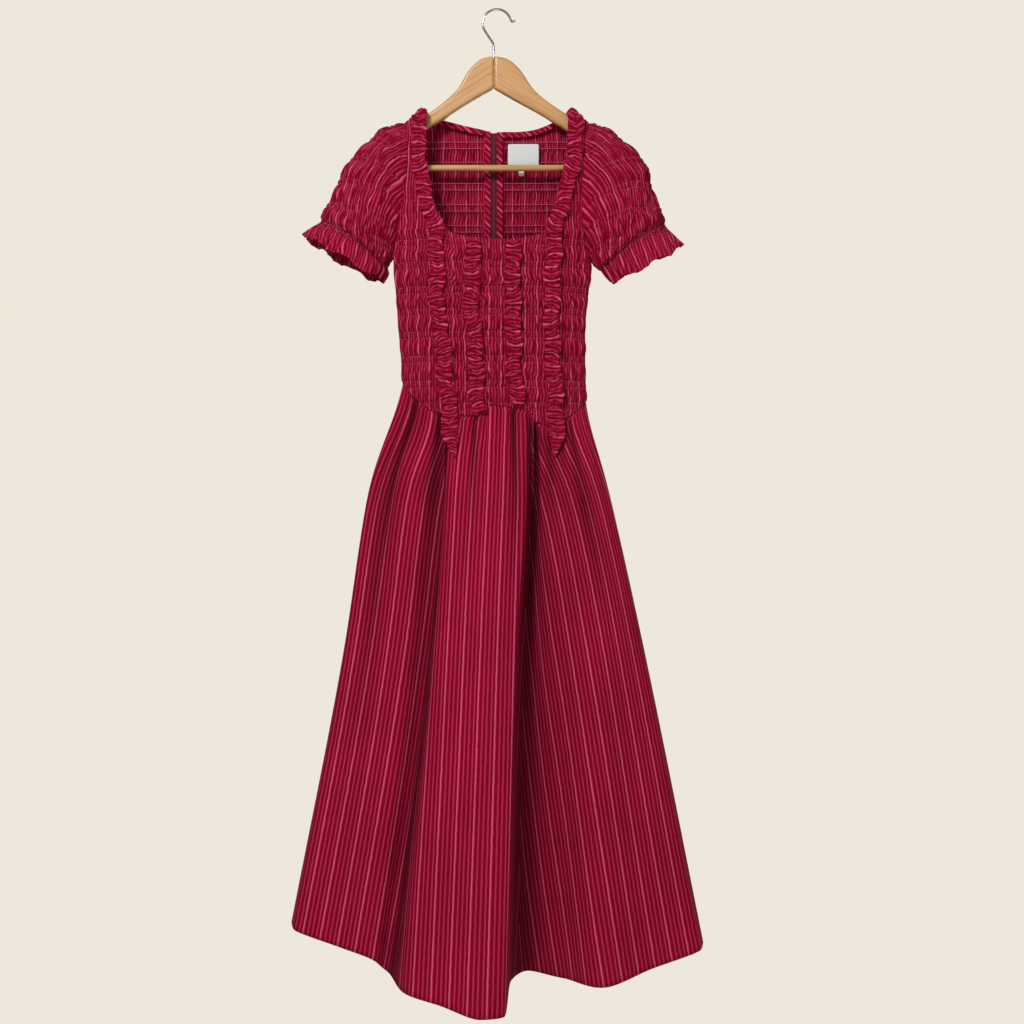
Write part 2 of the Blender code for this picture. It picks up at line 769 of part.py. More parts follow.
def skirt_normal(surface, front, seams):
    outward = Vector((0, -1 if front else 1, 0))

    def normal(u, v):
        way = facing(surface, u, v, outward)
        if v < 1e-6:
            way.z = 0
        for edge, side in seams:
            if abs(u - edge) < 1e-6:
                way = Vector((side, 0, 0))
        return way.normalized()

    return normal


def build_skirt(collection):
    last = len(FRONT_FOLDS) - 1
    surface = skirt_surface(FRONT_FOLDS, front_waist, front_point, 0, last)
    normal = skirt_normal(surface, True, ((0, -1), (1, 1)))
    size = (SKIRT_FRONT_COLUMNS, len(SKIRT_ROWS) - 1)
    waved = gathered(surface, SKIRT_FRONT_COLUMNS, "front")
    wall("skirt_front", "striped_cotton", collection, size, waved, normal, CLOTH)
    end = len(BACK_FOLDS) - 1
    for side, word, first in ((-1, "left", 0), (1, "right", end)):
        surface = skirt_surface(BACK_FOLDS, back_waist, back_point, first, CENTRE_FOLD, side)
        normal = skirt_normal(surface, False, ((0, side),))
        size = (SKIRT_BACK_COLUMNS, len(SKIRT_ROWS) - 1)
        waved = gathered(surface, SKIRT_BACK_COLUMNS, "back")
        wall(f"skirt_back_{word}", "striped_cotton", collection, size, waved, normal, CLOTH)


# Ruffle strips, laid on the front

LAY_REACH = 5.0


def cloth_in_front(things):
    """A function that gives the foremost y of the cloth round a point, in mm."""
    trees = []
    for thing in things:
        body = bmesh.new()
        body.from_mesh(thing.data)
        trees.append(BVHTree.FromBMesh(body))
        body.free()

    def foremost(x, drop):
        found = []
        for tree in trees:
            for dx in (-2 * LAY_REACH, -LAY_REACH, 0, LAY_REACH, 2 * LAY_REACH):
                for dz in (-LAY_REACH, 0, LAY_REACH):
                    start = Vector((x + dx, -400, -drop + dz)) * MM
                    hit = tree.ray_cast(start, Vector((0, 1, 0)))[0]
                    if hit is not None:
                        found.append(hit.y / MM)
        return min(found)

    return foremost


def ruffle(name, collection, route, foremost, tail, over_shoulder):
    """A strip of cloth sewn down its middle, whose two edges stand up in waves by turns."""
    drops = column(route, 0)
    line = spline(drops, column(route, 1))
    length = drops[-1] - drops[0]
    rows = 2 * round(length / RUFFLE_WAVE)
    base = [foremost(line(d), d) for d in np.linspace(drops[0] + 20 * over_shoulder, drops[-1], rows + 1)]
    base = [min(base[max(0, i - 1) : i + 2]) for i in range(rows + 1)]
    lay = spline(np.linspace(drops[0] + 20 * over_shoulder, drops[-1], rows + 1), base)
    bend = spline((0, 12, 40), (1.25, 0.6, 0.0))

    def frame(v):
        """Middle of the strip, the way it faces, and the way across it."""
        drop = drops[0] + length * v
        lean = bend(drop - drops[0]) if over_shoulder else 0.0
        way = Vector((0, -math.cos(lean), math.sin(lean)))
        y = lay(drop)
        if over_shoulder:
            share = min((drop - drops[0]) / 20, 1.0)
            y = front_point(line(drop), drop).y * (1 - share) + y * share
        slope = (line(min(drop + 2, drops[-1])) - line(max(drop - 2, drops[0]))) / 4
        along = Vector((slope, 0, -1)).normalized()
        across = Vector((0, 1, 0)).cross(along)
        if over_shoulder:
            fall = SHOULDER_SLOPE * max(0.0, 1 - (drop - drops[0]) / SHOULDER_ARCH)
            across = (across - Vector((0, 0, math.copysign(fall, line(drop)) * across.x))).normalized()
        middle = Vector((line(drop), y, -drop)) + way * (SEAM_GAP + RUFFLE_CLOTH)
        return middle, way, across

    def surface(u, v):
        middle, way, across = frame(v)
        side = round(2 * u) - 1
        at_row = round(v * rows)
        to_end = length * (1 - v)
        width = RUFFLE_HALF * (min(1.0, to_end / TAIL_LENGTH + 0.12) if tail else 1.0)
        high = (at_row + (side > 0)) % 2 == 0
        lift = (RUFFLE_HIGH if high else RUFFLE_LOW) * abs(side) * width / RUFFLE_HALF
        return middle + across * side * width + way * lift

    def normal(u, v):
        return frame(v)[1]

    wall(name, "striped_cotton", collection, (2, rows), surface, normal, RUFFLE_CLOTH)


def build_ruffles(collection):
    foremost = cloth_in_front([collection.objects["bodice_front"], collection.objects["skirt_front"]])
    ruffle("outer_ruffle_left", collection, OUTER_LEFT_ROUTE, foremost, True, True)
    ruffle("inner_ruffle_left", collection, INNER_LEFT_ROUTE, foremost, False, False)
    ruffle("inner_ruffle_right", collection, INNER_RIGHT_ROUTE, foremost, False, False)
    ruffle("outer_ruffle_right", collection, OUTER_RIGHT_ROUTE, foremost, True, True)


# Zip, its bindings, the neck binding and the labels, laid inside the back

STRIP_ROWS = 10


def zip_line():
    """y of the back's outer face along the zip, bodice and skirt, as a function of the drop."""
    skirt = skirt_surface(BACK_FOLDS, back_waist, back_point, CENTRE_FOLD, CENTRE_FOLD)
    drops = [ZIP_TOP_DROP - 6 + 20 * k for k in range(18)]
    ys = [back_point(ZIP_X, drop).y for drop in drops]
    for k in range(12):
        point = skirt(0, 0.02 + 0.05 * k)
        drops.append(-point.z)
        ys.append(point.y)
    return spline(drops, ys)


def zip_strip(name, kind, collection, left, right, inset, thick, line):
    """A flat strip along the zip, its outer face set in from the back's by inset."""

    def surface(u, v):
        drop = ZIP_TOP_DROP + (ZIP_END_DROP - ZIP_TOP_DROP) * v
        return Vector((ZIP_X + left + (right - left) * u, line(drop) - inset, -drop))

    def normal(u, v):
        return Vector((0, 1, 0))

    wall(name, kind, collection, (1, STRIP_ROWS), surface, normal, thick)


def build_zip(collection):
    line = zip_line()
    tape_inset = CLOTH + 2 * SEAM_GAP
    binding_inset = tape_inset + TRIM_CLOTH + SEAM_GAP
    coil_inset = tape_inset - SEAM_GAP - ZIP_COIL_THICK
    zip_strip(
        "zip_tape", "zip_tape_plum", collection, -ZIP_TAPE_HALF, ZIP_TAPE_HALF, tape_inset,
        TRIM_CLOTH, line,
    )  # fmt: skip
    zip_strip(
        "zip_coil", "zip_tape_plum", collection, -ZIP_COIL_HALF, ZIP_COIL_HALF, coil_inset,
        ZIP_COIL_THICK, line,
    )  # fmt: skip
    for side, word in ((-1, "left"), (1, "right")):
        ends = sorted((side * BINDING_INNER, side * BINDING_OUTER))
        zip_strip(
            f"zip_binding_{word}", "striped_cotton", collection, ends[0], ends[1], binding_inset,
            TRIM_CLOTH, line,
        )  # fmt: skip
    return line


def inside_patch(name, kind, collection, x_ends, drops_at, size, thick, inset):
    """A patch on the inner face of the back; drops_at gives its top and bottom at an x."""

    def point_at(x, drop, out):
        spot = back_point(x, drop)
        ahead = back_point(x + 1, drop) - spot
        below = back_point(x, drop + 1) - spot
        way = ahead.cross(below)
        if way.y < 0:
            way = -way
        return spot, way.normalized() * out

    def surface(u, v):
        x = x_ends[0] + (x_ends[1] - x_ends[0]) * u
        top, bottom = drops_at(x)
        spot, away = point_at(x, top + (bottom - top) * v, CLOTH + inset)
        return spot - away

    def normal(u, v):
        x = x_ends[0] + (x_ends[1] - x_ends[0]) * u
        top, bottom = drops_at(x)
        return point_at(x, top + (bottom - top) * v, 1.0)[1]

    wall(name, kind, collection, size, surface, normal, thick)


def build_inside_trim(collection):
    for side, word, outer in ((-1, "left", -80.0), (1, "right", 80.0)):
        near_zip = ZIP_X + side * (ZIP_TAPE_HALF + 1.0)
        inside_patch(
            f"neck_binding_{word}", "striped_cotton", collection, (outer, near_zip),
            lambda x: (back_top(x) + 0.6, back_top(x) + NECK_BINDING), (10, 1), TRIM_CLOTH, 2 * SEAM_GAP,
        )  # fmt: skip
    for name, box in (("neck_label", LABEL_BOX), ("size_tab", SIZE_TAB_BOX)):
        left, right, top, bottom = box
        inside_patch(
            name, "label_white", collection, (left, right),
            lambda x, top=top, bottom=bottom: (top, bottom), (4, 3), LABEL_THICK, 2 * SEAM_GAP,
        )  # fmt: skip


# Flat outlines, cuts and round pieces for the hanger and the zip's metal


def curve_object(name, dimensions, collection):
    data = bpy.data.curves.new(name, "CURVE")
    data.dimensions = dimensions
    made = bpy.data.objects.new(name, data)
    collection.objects.link(made)
    return made


def add_spline(data, points, closed):
    line = data.splines.new("POLY")
    line.points.add(len(points) - 1)
    for spot, point in zip(line.points, points):
        spot.co = (*point, 1.0)
    line.use_cyclic_u = closed


def as_mesh(made, kind, collection):
    """Turns a curve object into a mesh object of the same name, its caps welded."""
    mesh = evaluated_mesh(made)
    place, name = made.matrix_world.copy(), made.name
    bpy.data.objects.remove(made)
    body = bmesh.new()
    body.from_mesh(mesh)
    bmesh.ops.remove_doubles(body, verts=body.verts, dist=0.00001)
    bmesh.ops.recalc_face_normals(body, faces=body.faces)
    body.to_mesh(mesh)
    body.free()
    turned = add_object(name, mesh, kind, collection)
    turned.matrix_world = place
    return turned


def flat_plate(name, kind, collection, outlines, thick):
    """A plate in the x, z plane from closed outlines in mm; an inner outline is a hole."""
    made = curve_object(name, "2D", collection)
    made.data.fill_mode = "BOTH"
    made.data.extrude = thick / 2 * MM
    for outline in outlines:
        add_spline(made.data, [(x * MM, z * MM, 0.0) for x, z in outline], True)
    made.rotation_euler = (math.radians(90), 0, 0)
    bpy.context.view_layer.update()
    return as_mesh(made, kind, collection)


def cutter(name, radius, depth, place, turn, cutters):
    bpy.ops.mesh.primitive_cylinder_add(vertices=24, radius=radius * MM, depth=depth * MM)
    made = bpy.context.object
    made.name = name
    made.location = Vector(place) * MM
    made.rotation_euler = turn
    for collection in made.users_collection:
        collection.objects.unlink(made)
    cutters.objects.link(made)
    made.hide_render = True
    made.display_type = "WIRE"
    return made


def boolean(target, tool, operation):
    change = target.modifiers.new(tool.name, "BOOLEAN")
    change.operation = operation
    change.solver = "EXACT"
    change.object = tool


# Hanger


def build_hanger(collection, cutters):
    bar_hole = cutter(
        "bar_hole", BAR_RADIUS + FIT_GAP, BAR_ENDS[1] - BAR_ENDS[0] + 2 * FIT_GAP,
        ((BAR_ENDS[0] + BAR_ENDS[1]) / 2, 0, -BAR_DROP), (0, math.radians(90), 0), cutters,
    )  # fmt: skip
    stem_hole = cutter(
        "stem_hole", WIRE_RADIUS + FIT_GAP, 2 * (STEM_END_DROP + FIT_GAP - 64),
        (HANGER_X, 0, -64), (0, 0, 0), cutters,
    )  # fmt: skip
    for word, outline, side in (("left", LEFT_ARM, -1), ("right", RIGHT_ARM, 1)):
        points = [(x + side * FIT_GAP / 2 if x == HANGER_X else x, -drop) for x, drop in outline]
        arm = flat_plate(f"hanger_arm_{word}", "beech_wood", collection, [points], ARM_THICK)
        edge = arm.modifiers.new("rounded edge", "BEVEL")
        edge.width = ARM_EDGE * MM
        edge.segments = 2
        edge.limit_method = "ANGLE"
        edge.angle_limit = math.radians(60)
        boolean(arm, bar_hole, "DIFFERENCE")
        boolean(arm, stem_hole, "DIFFERENCE")
    bpy.ops.mesh.primitive_cylinder_add(
        vertices=24, radius=BAR_RADIUS * MM, depth=(BAR_ENDS[1] - BAR_ENDS[0]) * MM,
        location=((BAR_ENDS[0] + BAR_ENDS[1]) / 2 * MM, 0, -BAR_DROP * MM), rotation=(0, math.radians(90), 0),
    )  # fmt: skip
    bar = bpy.context.object
    bar.name = "hanger_bar"
    for other in bar.users_collection:
        other.objects.unlink(bar)
    collection.objects.link(bar)
    bar.data.materials.append(finish("hanger_bar", "beech_wood"))
    bar.data.shade_smooth()
    bar.data.set_sharp_from_angle(angle=math.radians(40))
    build_hook(collection)


def build_hook(collection):
    """The bent wire: from its tip over the top, down the left side and into the wood."""
    centre = Vector((0, -(HOOK_RADIUS - WIRE_RADIUS)))
    points = [(HOOK_TIP[0], -HOOK_TIP[1])]
    for degrees in range(HOOK_START, HOOK_STOP + 1, 10):
        angle = math.radians(degrees)
        points.append((centre.x + HOOK_RADIUS * math.cos(angle), centre.y + HOOK_RADIUS * math.sin(angle)))
    points += [(x, -drop) for x, drop in HOOK_NECK]
    wire = curve_object("hanger_hook", "3D", collection)
    wire.data.bevel_depth = WIRE_RADIUS * MM
    wire.data.bevel_resolution = 2
    wire.data.use_fill_caps = True
    add_spline(wire.data, [(x * MM, 0.0, z * MM) for x, z in points], False)
    wire.data.materials.append(finish("hanger_hook", "chromed_wire"))


# Zip slider and pull tab


def build_slider(collection, cutters, line):
    """The slider's plate with its bail, and the pull tab whose cross bar hangs under the bail."""
    face = line(SLIDER_DROP) + SEAM_GAP
    width, deep, tall = SLIDER_SIZE
    bpy.ops.mesh.primitive_cube_add(size=1)
    slider = bpy.context.object
    slider.name = "zip_slider"
    slider.data.transform(Matrix.Diagonal((width * MM, deep * MM, tall * MM, 1)))
    slider.location = Vector((ZIP_X, face + deep / 2, -SLIDER_DROP)) * MM
    for other in slider.users_collection:
        other.objects.unlink(slider)
    collection.objects.link(slider)
    slider.data.materials.append(finish("zip_slider", "zip_metal"))
    edge = slider.modifiers.new("rounded edge", "BEVEL")
    edge.width = SLIDER_EDGE * MM
    edge.segments = 2
    top = face + deep
    half = BAIL_LENGTH / 2 - BAIL_WIRE
    height = BAIL_HEIGHT - BAIL_WIRE
    route = ((-half, -BAIL_WIRE), (-half, height - 1), (1 - half, height), (half - 1, height),
             (half, height - 1), (half, -BAIL_WIRE))  # fmt: skip
    wire = curve_object("bail_shape", "3D", cutters)
    wire.data.bevel_depth = BAIL_WIRE * MM
    wire.data.bevel_resolution = 1
    wire.data.use_fill_caps = True
    add_spline(wire.data, [(0.0, out * MM, up * MM) for up, out in route], False)
    wire.location = Vector((ZIP_X, top, -SLIDER_DROP)) * MM
    bpy.context.view_layer.update()
    bail = as_mesh(wire, "zip_metal", cutters)
    bail.hide_render = True
    bail.display_type = "WIRE"
    boolean(slider, bail, "UNION")

    axis = Vector((ZIP_X, top + PULL_AXIS_RISE, -SLIDER_DROP - PULL_AXIS_BELOW))
    half_bar, half_wide = PULL_BAR, PULL_HALF_WIDTH
    window_half, window_end = PULL_WINDOW
    end = PULL_LENGTH - half_wide
    outline = [(-half_wide + 0.8, half_bar), (-half_wide, half_bar - 0.8)]
    outline += [
        (half_wide * math.cos(math.radians(a)), -end + half_wide * math.sin(math.radians(a)))
        for a in range(180, 361, 20)
    ]
    outline += [(half_wide, half_bar - 0.8), (half_wide - 0.8, half_bar)]
    window = [
        (-window_half, -half_bar), (window_half, -half_bar),
        (window_half, -window_end), (-window_half, -window_end),
    ]  # fmt: skip
    tab = flat_plate("zip_pull", "zip_metal", collection, [outline, window], 2 * PULL_BAR)
    tab.location = axis * MM


def main():
    clear_scene()
    dress = new_collection("ruffle_midi_dress")
    cutters = new_collection("cutters")
    build_bodice_front(dress)
    build_bodice_back(dress)
    build_sleeves(dress)
    build_skirt(dress)
    build_ruffles(dress)
    line = build_zip(dress)
    build_inside_trim(dress)
    build_hanger(dress, cutters)
    build_slider(dress, cutters, line)


main()
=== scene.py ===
"""Ruffle midi dress on a wooden hanger: its cloth, trim and hanger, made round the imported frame.

It is laid out as a Blender add-on and run as a script. Tables are in millimetres, and heights are
drops below the inside top of the hook, so a drop of 500 is z = -0.5 m. Left and right are the
viewer's, from the front, and the front faces -Y. A side is -1 for left or front, 1 for right or back.
"""

import math
from functools import partial

import bmesh
import bpy
import numpy as np
from bpy.props import FloatProperty, FloatVectorProperty, IntProperty, PointerProperty
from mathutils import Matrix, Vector
from mathutils.bvhtree import BVHTree


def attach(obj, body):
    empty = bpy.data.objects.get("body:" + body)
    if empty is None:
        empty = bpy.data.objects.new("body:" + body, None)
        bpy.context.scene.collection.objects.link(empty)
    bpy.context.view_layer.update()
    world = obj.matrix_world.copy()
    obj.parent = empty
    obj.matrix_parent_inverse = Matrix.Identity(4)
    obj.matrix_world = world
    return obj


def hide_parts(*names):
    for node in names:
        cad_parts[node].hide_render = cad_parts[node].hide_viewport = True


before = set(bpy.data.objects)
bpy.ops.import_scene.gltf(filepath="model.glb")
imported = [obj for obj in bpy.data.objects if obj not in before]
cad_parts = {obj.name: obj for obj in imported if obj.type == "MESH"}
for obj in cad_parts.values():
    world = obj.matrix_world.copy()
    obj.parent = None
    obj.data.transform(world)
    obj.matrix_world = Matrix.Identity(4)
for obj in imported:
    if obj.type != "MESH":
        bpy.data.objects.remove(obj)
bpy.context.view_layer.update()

bl_info = {
    "name": "Ruffle midi dress",
    "version": (1, 0, 0),
    "blender": (4, 5, 0),
    "location": "3D View > Sidebar > Dress",
    "description": "A striped, shirred cotton midi dress on a wooden hanger",
    "category": "Object",
}

MM = 0.001
TURN = 2 * math.pi
SIDES = ((-1, "left"), (1, "right"))

# Thickness of the cloth in the solids and here, and how the pieces meet
CLOTH = 1.5
TRIM_CLOTH = 1.0
COTTON_WALL = 0.8
RUFFLE_WALL = 0.6
TAPE_WALL = 0.7
LABEL_WALL = 0.8
SEAM_GAP = 0.4
SEAM_LAP = 0.1
ARMHOLE_GAP = 0.5
WAIST_LAP = 3.0
WAIST_TUCK = 1.6
WAIST_CORNER = 0.3
SEAM_CLEAR = 0.4  # how far stitches stand off the shirred cloth

# Shoulders, armholes and neck
NECK_POINT_DROP = 138.0
NECK_POINT_X = 98.5
SHOULDER_TIP_DROP = 157.0
SHOULDER_SLOPE = 0.68
SHOULDER_ARCH = 30.0
SHOULDER_BEND = 24.0
UNDERARM_DROP = 343.0
ARM_DEPTH = 17.0
ARM_CLOSING_DROP = 210.0
SECTION_POWER = 2.4
FRONT_NECK_DROP = 317.0
FRONT_NECK_SAG = 4.0
NECK_CORNER = 9.0
WAIST_DROP = 545.0

# Skirt: the heights of its sections, 0 at the waist and 1 at the hem, and how its folds run
SEAM_PART = 0.006
SKIRT_SECTIONS = (0.0, SEAM_PART, 0.13, 0.44, 1.0)
HIP_DROP = 648.0
MID_DROP = 880.0
CENTRE_FOLD = 5
HIP_EASING = 70
STRIPE_FAN = 0.35
SKIRT_ROWS = 132
HEM_STITCH_HEIGHT = 0.978

# Zip at the centre back
ZIP_X = -4.7
ZIP_TOP_DROP = 166.0
ZIP_END_DROP = 690.0
ZIP_OPEN_HALF = 4.2
ZIP_TAPE_HALF = 12.0
TAPE_INSET = CLOTH + 2 * SEAM_GAP
TOOTH_X = 0.85

# Hanger
HANGER_X = -4.0
ARM_HALF = 6.0
ARM_SPLIT = 0.12
ARM_LEAN = 32
EDGE_ROUNDING = 3.4
BAR_DROP = 217.4
BAR_ENDS = (-186.0, 179.0)
BAR_RADIUS = 4.3
BAR_CHAMFER = (0.8, 0.7)
HOOK_RADIUS = 19.5
WIRE_RADIUS = 1.65
HOOK_TIP = ((25.0, -14.5), (22.0, -16.4))
HOOK_NECK = ((-11, 37), (-6, 43.5), (HANGER_X, 50), (HANGER_X, 84))

# Rows of elastic: the drop of each pair of stitched lines, and the sleeves' distance from the cap
FRONT_ELASTICS = (181, 208, 235, 262, 289, 325, 356, 390, 420, 451, 484, 518, 548)
BACK_ELASTICS = (182, 210, 239, 268, 297, 327, 357, 387, 417, 447, 477, 507)
SLEEVE_ELASTICS = (22, 54, 86, 118, 150, 183)
ELASTIC_HALF = 4.4
SLEEVE_ELASTIC_HALF = 3.6
ELASTIC_STITCH = {"length": 3.3, "width": 0.9}

# Size of the cloth's columns and rows on the bodice and a sleeve
STRAP_COLUMNS, MIDDLE_COLUMNS, BACK_COLUMNS = 78, 150, 125
STRAP_ROWS, BODICE_ROWS, BACK_ROWS = 76, 108, 170
SLEEVE_TURN, SLEEVE_DOWN = 340, 124

# Shirring: how much wider the flat cloth is, its small gathers (spacing, size) and how its stripes
# wander (spacing, size), and the gap between rows of elastic at which a puff is full
GATHERING = 1.6
GATHER_WAVES = ((8.7, 0.62), (6.1, 0.5), (15.3, 0.4))
WANDER_WAVES = ((31.0, 0.8), (13.0, 0.3))
FULL_PUFF = 24.0

# Gathers and pleats of the skirt: spacing, height, and how far down they reach, 1 at the hem
SKIRT_WAVES = ((8.3, 1.3, 0.09), (13.9, 2.9, 0.17), (20.0, 4.2, 0.32), (37.0, 4.0, 0.62), (61.0, 2.0, 1.5))

# Front neck edge, then the line that carries on down from it: drop, left, right
NECK_EDGE = (
    (NECK_POINT_DROP, -NECK_POINT_X, NECK_POINT_X), (172, -96, 97), (197, -97, 95), (231, -94, 89),
    (265, -87, 82), (290, -76, 77), (305, -68, 73), (FRONT_NECK_DROP, -63, 67), (440, -64, 66),
    (570, -60, 64),
)

# Armhole seam down to the underarm, then the side seam: drop, left, right
BODY_EDGE = (
    (SHOULDER_TIP_DROP, -127, 126), (170, -123, 123), (193, -122, 119), (227, -123, 117),
    (262, -128, 116), (289, -134, 117), (324, -140, 122), (UNDERARM_DROP, -142, 128), (354, -142, 130),
    (386, -139, 126), (413, -137, 123), (441, -135, 121), (496, -131, 121), (WAIST_DROP, -131, 124),
)

# Depth of the bodice in front of and behind the hanger's plane: drop, front, back
BODY_DEPTH = (
    (138, 17, 15), (230, 23, 19), (300, 28, 24), (360, 30, 26), (450, 27, 24), (560, 24, 22),
)

# Front waist seam, dropped in two shallow points, and back waist seam: x, drop
FRONT_WAIST = (
    (-131, 511), (-118, 531), (-87, 555), (-64, 559), (-38, 561), (-16, 558), (-7, 546),
    (18, 550), (41, 553), (55, 570), (70, 575), (96, 564), (124, 538),
)
BACK_WAIST = ((-131, 511), (-90, 524), (-5, 530), (90, 533), (124, 538))

# Top edge of the back, over both shoulders and round the neck: x, drop
BACK_TOP = (
    (-127, 157), (-98.5, 138), (-95, 141), (-90, 143.5), (-74, 148), (-38, 157), (-5, 163),
    (25, 164), (47, 162), (78, 151), (90, 144), (95, 141), (98.5, 138), (126, 157),
)

# Folds of the skirt front, left to right, as the line of each crest and hollow:
# waist x, hip x, hip y, middle x, middle y, hem x, hem y, hem drop
FRONT_FOLDS = (
    (-131, -174, 0, -210, 0, -283, 0, 1258),
    (-128, -171, -12, -206, -15, -277, -18, 1263),
    (-113, -148, -24, -170, -31, -212, -40, 1281),
    (-91, -111, -32, -124, -38, -168, -50, 1294),
    (-70, -72, -23, -94, -25, -148, -34, 1316),
    (-61, -65, -34, -80, -52, -122, -84, 1328),
    (-37, -39, -42, -46, -66, -74, -104, 1338),
    (4, 2, -44, -6, -72, -21, -120, 1351),
    (34, 37, -42, 25, -66, 10, -112, 1350),
    (41, 42, -30, 30, -34, 19, -55, 1321),
    (51, 52, -23, 45, -17, 43, -16, 1320),
    (66, 66, -35, 74, -40, 89, -34, 1324),
    (89, 94, -40, 125, -56, 141, -78, 1323),
    (107, 127, -28, 170, -40, 209, -52, 1306),
    (121, 148, -12, 198, -15, 278, -20, 1290),
    (124, 150, 0, 202, 0, 284, 0, 1286),
)

# Folds of the skirt back, with the same columns; the sixth row is the centre seam
BACK_FOLDS = (
    (-131, -174, 0, -210, 0, -283, 0, 1258),
    (-128, -171, 12, -206, 16, -277, 20, 1262),
    (-100, -128, 31, -152, 44, -200, 66, 1275),
    (-72, -90, 25, -104, 31, -134, 38, 1284),
    (-38, -48, 34, -56, 56, -70, 88, 1296),
    (ZIP_X, ZIP_X, 29, ZIP_X, 42, ZIP_X, 58, 1300),
    (30, 38, 35, 44, 58, 58, 90, 1301),
    (64, 80, 26, 92, 32, 120, 40, 1297),
    (94, 122, 32, 150, 46, 200, 68, 1293),
    (121, 148, 12, 198, 16, 278, 20, 1289),
    (124, 150, 0, 202, 0, 284, 0, 1286),
)

# Painted shadows on the skirt front, darkening hollows that lie in shade: fold, reach in folds, how dark, how
# far down
FRONT_PAINTED_SHADOWS = (
    (4.35, 0.35, 1.0, 9.0), (9.5, 1.0, 0.95, 9.0), (4.6, 0.3, 1.0, 0.17), (11.3, 0.3, 0.6, 0.24),
    (12.5, 0.3, 0.75, 0.36), (2.4, 0.25, 0.3, 0.3), (6.2, 0.14, 0.5, 0.22), (11.0, 0.9, 0.28, 9.0),
)

# Skirt panels: node, folds, side, centre seam's side, columns, painted shadows in its hollows, where the
# cloth's parts meet and the fold that each part's stripes run along
SKIRT_PANELS = (
    ("skirt_front", FRONT_FOLDS, -1, 0, 330, FRONT_PAINTED_SHADOWS, (0, 4.5, 9.5, 15), (0, 7, 15)),
    ("skirt_back_left", BACK_FOLDS, 1, -1, 150, (), (0, 2.5, CENTRE_FOLD), (0, CENTRE_FOLD)),
    ("skirt_back_right", BACK_FOLDS, 1, 1, 150, (), (10, 7.5, CENTRE_FOLD), (10, CENTRE_FOLD)),
)

# Ruffle routes, shoulder or neck to waist or tail: drop, x
RUFFLES = {
    "outer_ruffle_left": (
        (141, -105), (166, -107), (187, -107), (226, -104), (270, -95), (301, -84), (322, -82),
        (403, -81), (444, -77), (465, -72), (499, -72), (533, -66), (560, -64), (594, -62),
        (618, -58),
    ),
    "inner_ruffle_left": (
        (325, -32), (363, -32), (404, -35), (444, -31), (472, -28), (526, -28), (556, -23),
    ),
    "inner_ruffle_right": ((325, 23), (404, 22), (444, 23), (499, 23), (526, 26), (547, 30)),
    "outer_ruffle_right": (
        (141, 105), (166, 108), (187, 108), (229, 101), (270, 90), (301, 80), (322, 79),
        (362, 76), (444, 75), (499, 77), (533, 80), (560, 80), (587, 81), (618, 80),
    ),
}
RUFFLE_HALF = 11.0
RUFFLE_STEP = 0.95
RUFFLE_COLUMNS = 14
TAIL_LENGTH = 34.0
OVER_SHOULDER = 20.0  # how far down a ruffle follows the shoulder's own round

# Sleeve sections after the armhole, out to the frill's edge, each from the outer side of the arm to
# the underarm: outer x, outer drop, under x, under drop, half depth, how far the front edge is lifted
LEFT_SLEEVE = (
    (-153, 164, -145, 344, 24, 0), (-181, 188, -146, 346, 30, 0), (-205, 214, -148, 348, 30, 0),
    (-217, 239, -149, 350, 34, 0), (-226, 261, -150, 352, 31, 0), (-235, 274, -151, 353, 34, 1),
    (-241, 291, -152, 355, 28, 2), (-255, 302, -152, 363, 33, 1), (-268, 313, -161, 376, 37, 1),
)
RIGHT_SLEEVE = (
    (148, 164, 131, 347, 24, 0), (179, 187, 133, 350, 30, 0), (203, 214, 134, 352, 30, 0),
    (210, 239, 136, 353, 34, 0), (216, 259, 138, 355, 31, 0), (225, 277, 140, 356, 34, 1),
    (230, 296, 142, 357, 28, 1), (243, 313, 150, 367, 32, -1), (255, 327, 160, 377, 35, -4),
)
FRILL_SECTION = 7
CUFF_WAVES = 25
CUFF_RISE, CUFF_SWING = 2.4, 1.6
SLEEVE_STRIPES = 84
SLEEVE_LENGTH = 220.0
CAP_HEIGHT = 190.0

# Outlines of the hanger's two halves: x, drop
LEFT_ARM = (
    (HANGER_X, 64), (-18, 66), (-27, 71), (-39, 83), (-46, 95), (-52, 107), (-62, 118), (-81, 134),
    (-97, 144.5), (-184, 199), (-191, 206), (-194, 216), (-190, 226), (-181, 229), (-170, 222),
    (-101, 166), (-75, 152), (-55, 138), (-29, 122), (HANGER_X, 108),
)
RIGHT_ARM = (
    (HANGER_X, 64), (10, 66), (19, 70), (31, 81), (38, 91), (44, 101), (53, 113), (69, 126),
    (86, 138), (102, 147), (175, 194), (183, 201), (186, 211), (185, 221), (180, 228), (172, 229),
    (162, 222), (97, 166), (79, 156), (59, 143), (25, 125), (HANGER_X, 108),
)

# How far the bindings' stripes turn from the straight, in degrees
BIAS = -48.0

# The bare tab and label inside the back neck: left, right, top, bottom
LABELS = {"size_tab": (30.0, 37.5, 213.6, 225.0), "neck_label": (15.0, 58.0, 181.0, 213.0)}

# Lights: name, place in metres, size, share of the key's power; and the point they face
LIGHTS = (
    ("key", (-0.95, -2.1, 0.95), 0.6, 1.0),
    ("side", (1.9, -1.2, -0.4), 1.6, 0.12),
    ("low", (0.3, -2.2, -1.5), 1.2, 0.15),
    ("back", (0.5, 2.2, 0.2), 1.6, 0.5),
)
LIT = Vector((0, 0, -0.7))

# The photo's camera: its distance in mm, the picture's width in pixels and the size of one in mm
CAMERA_DISTANCE = 2000
PHOTO_WIDTH = 1024
PHOTO_SCALE = 1.38


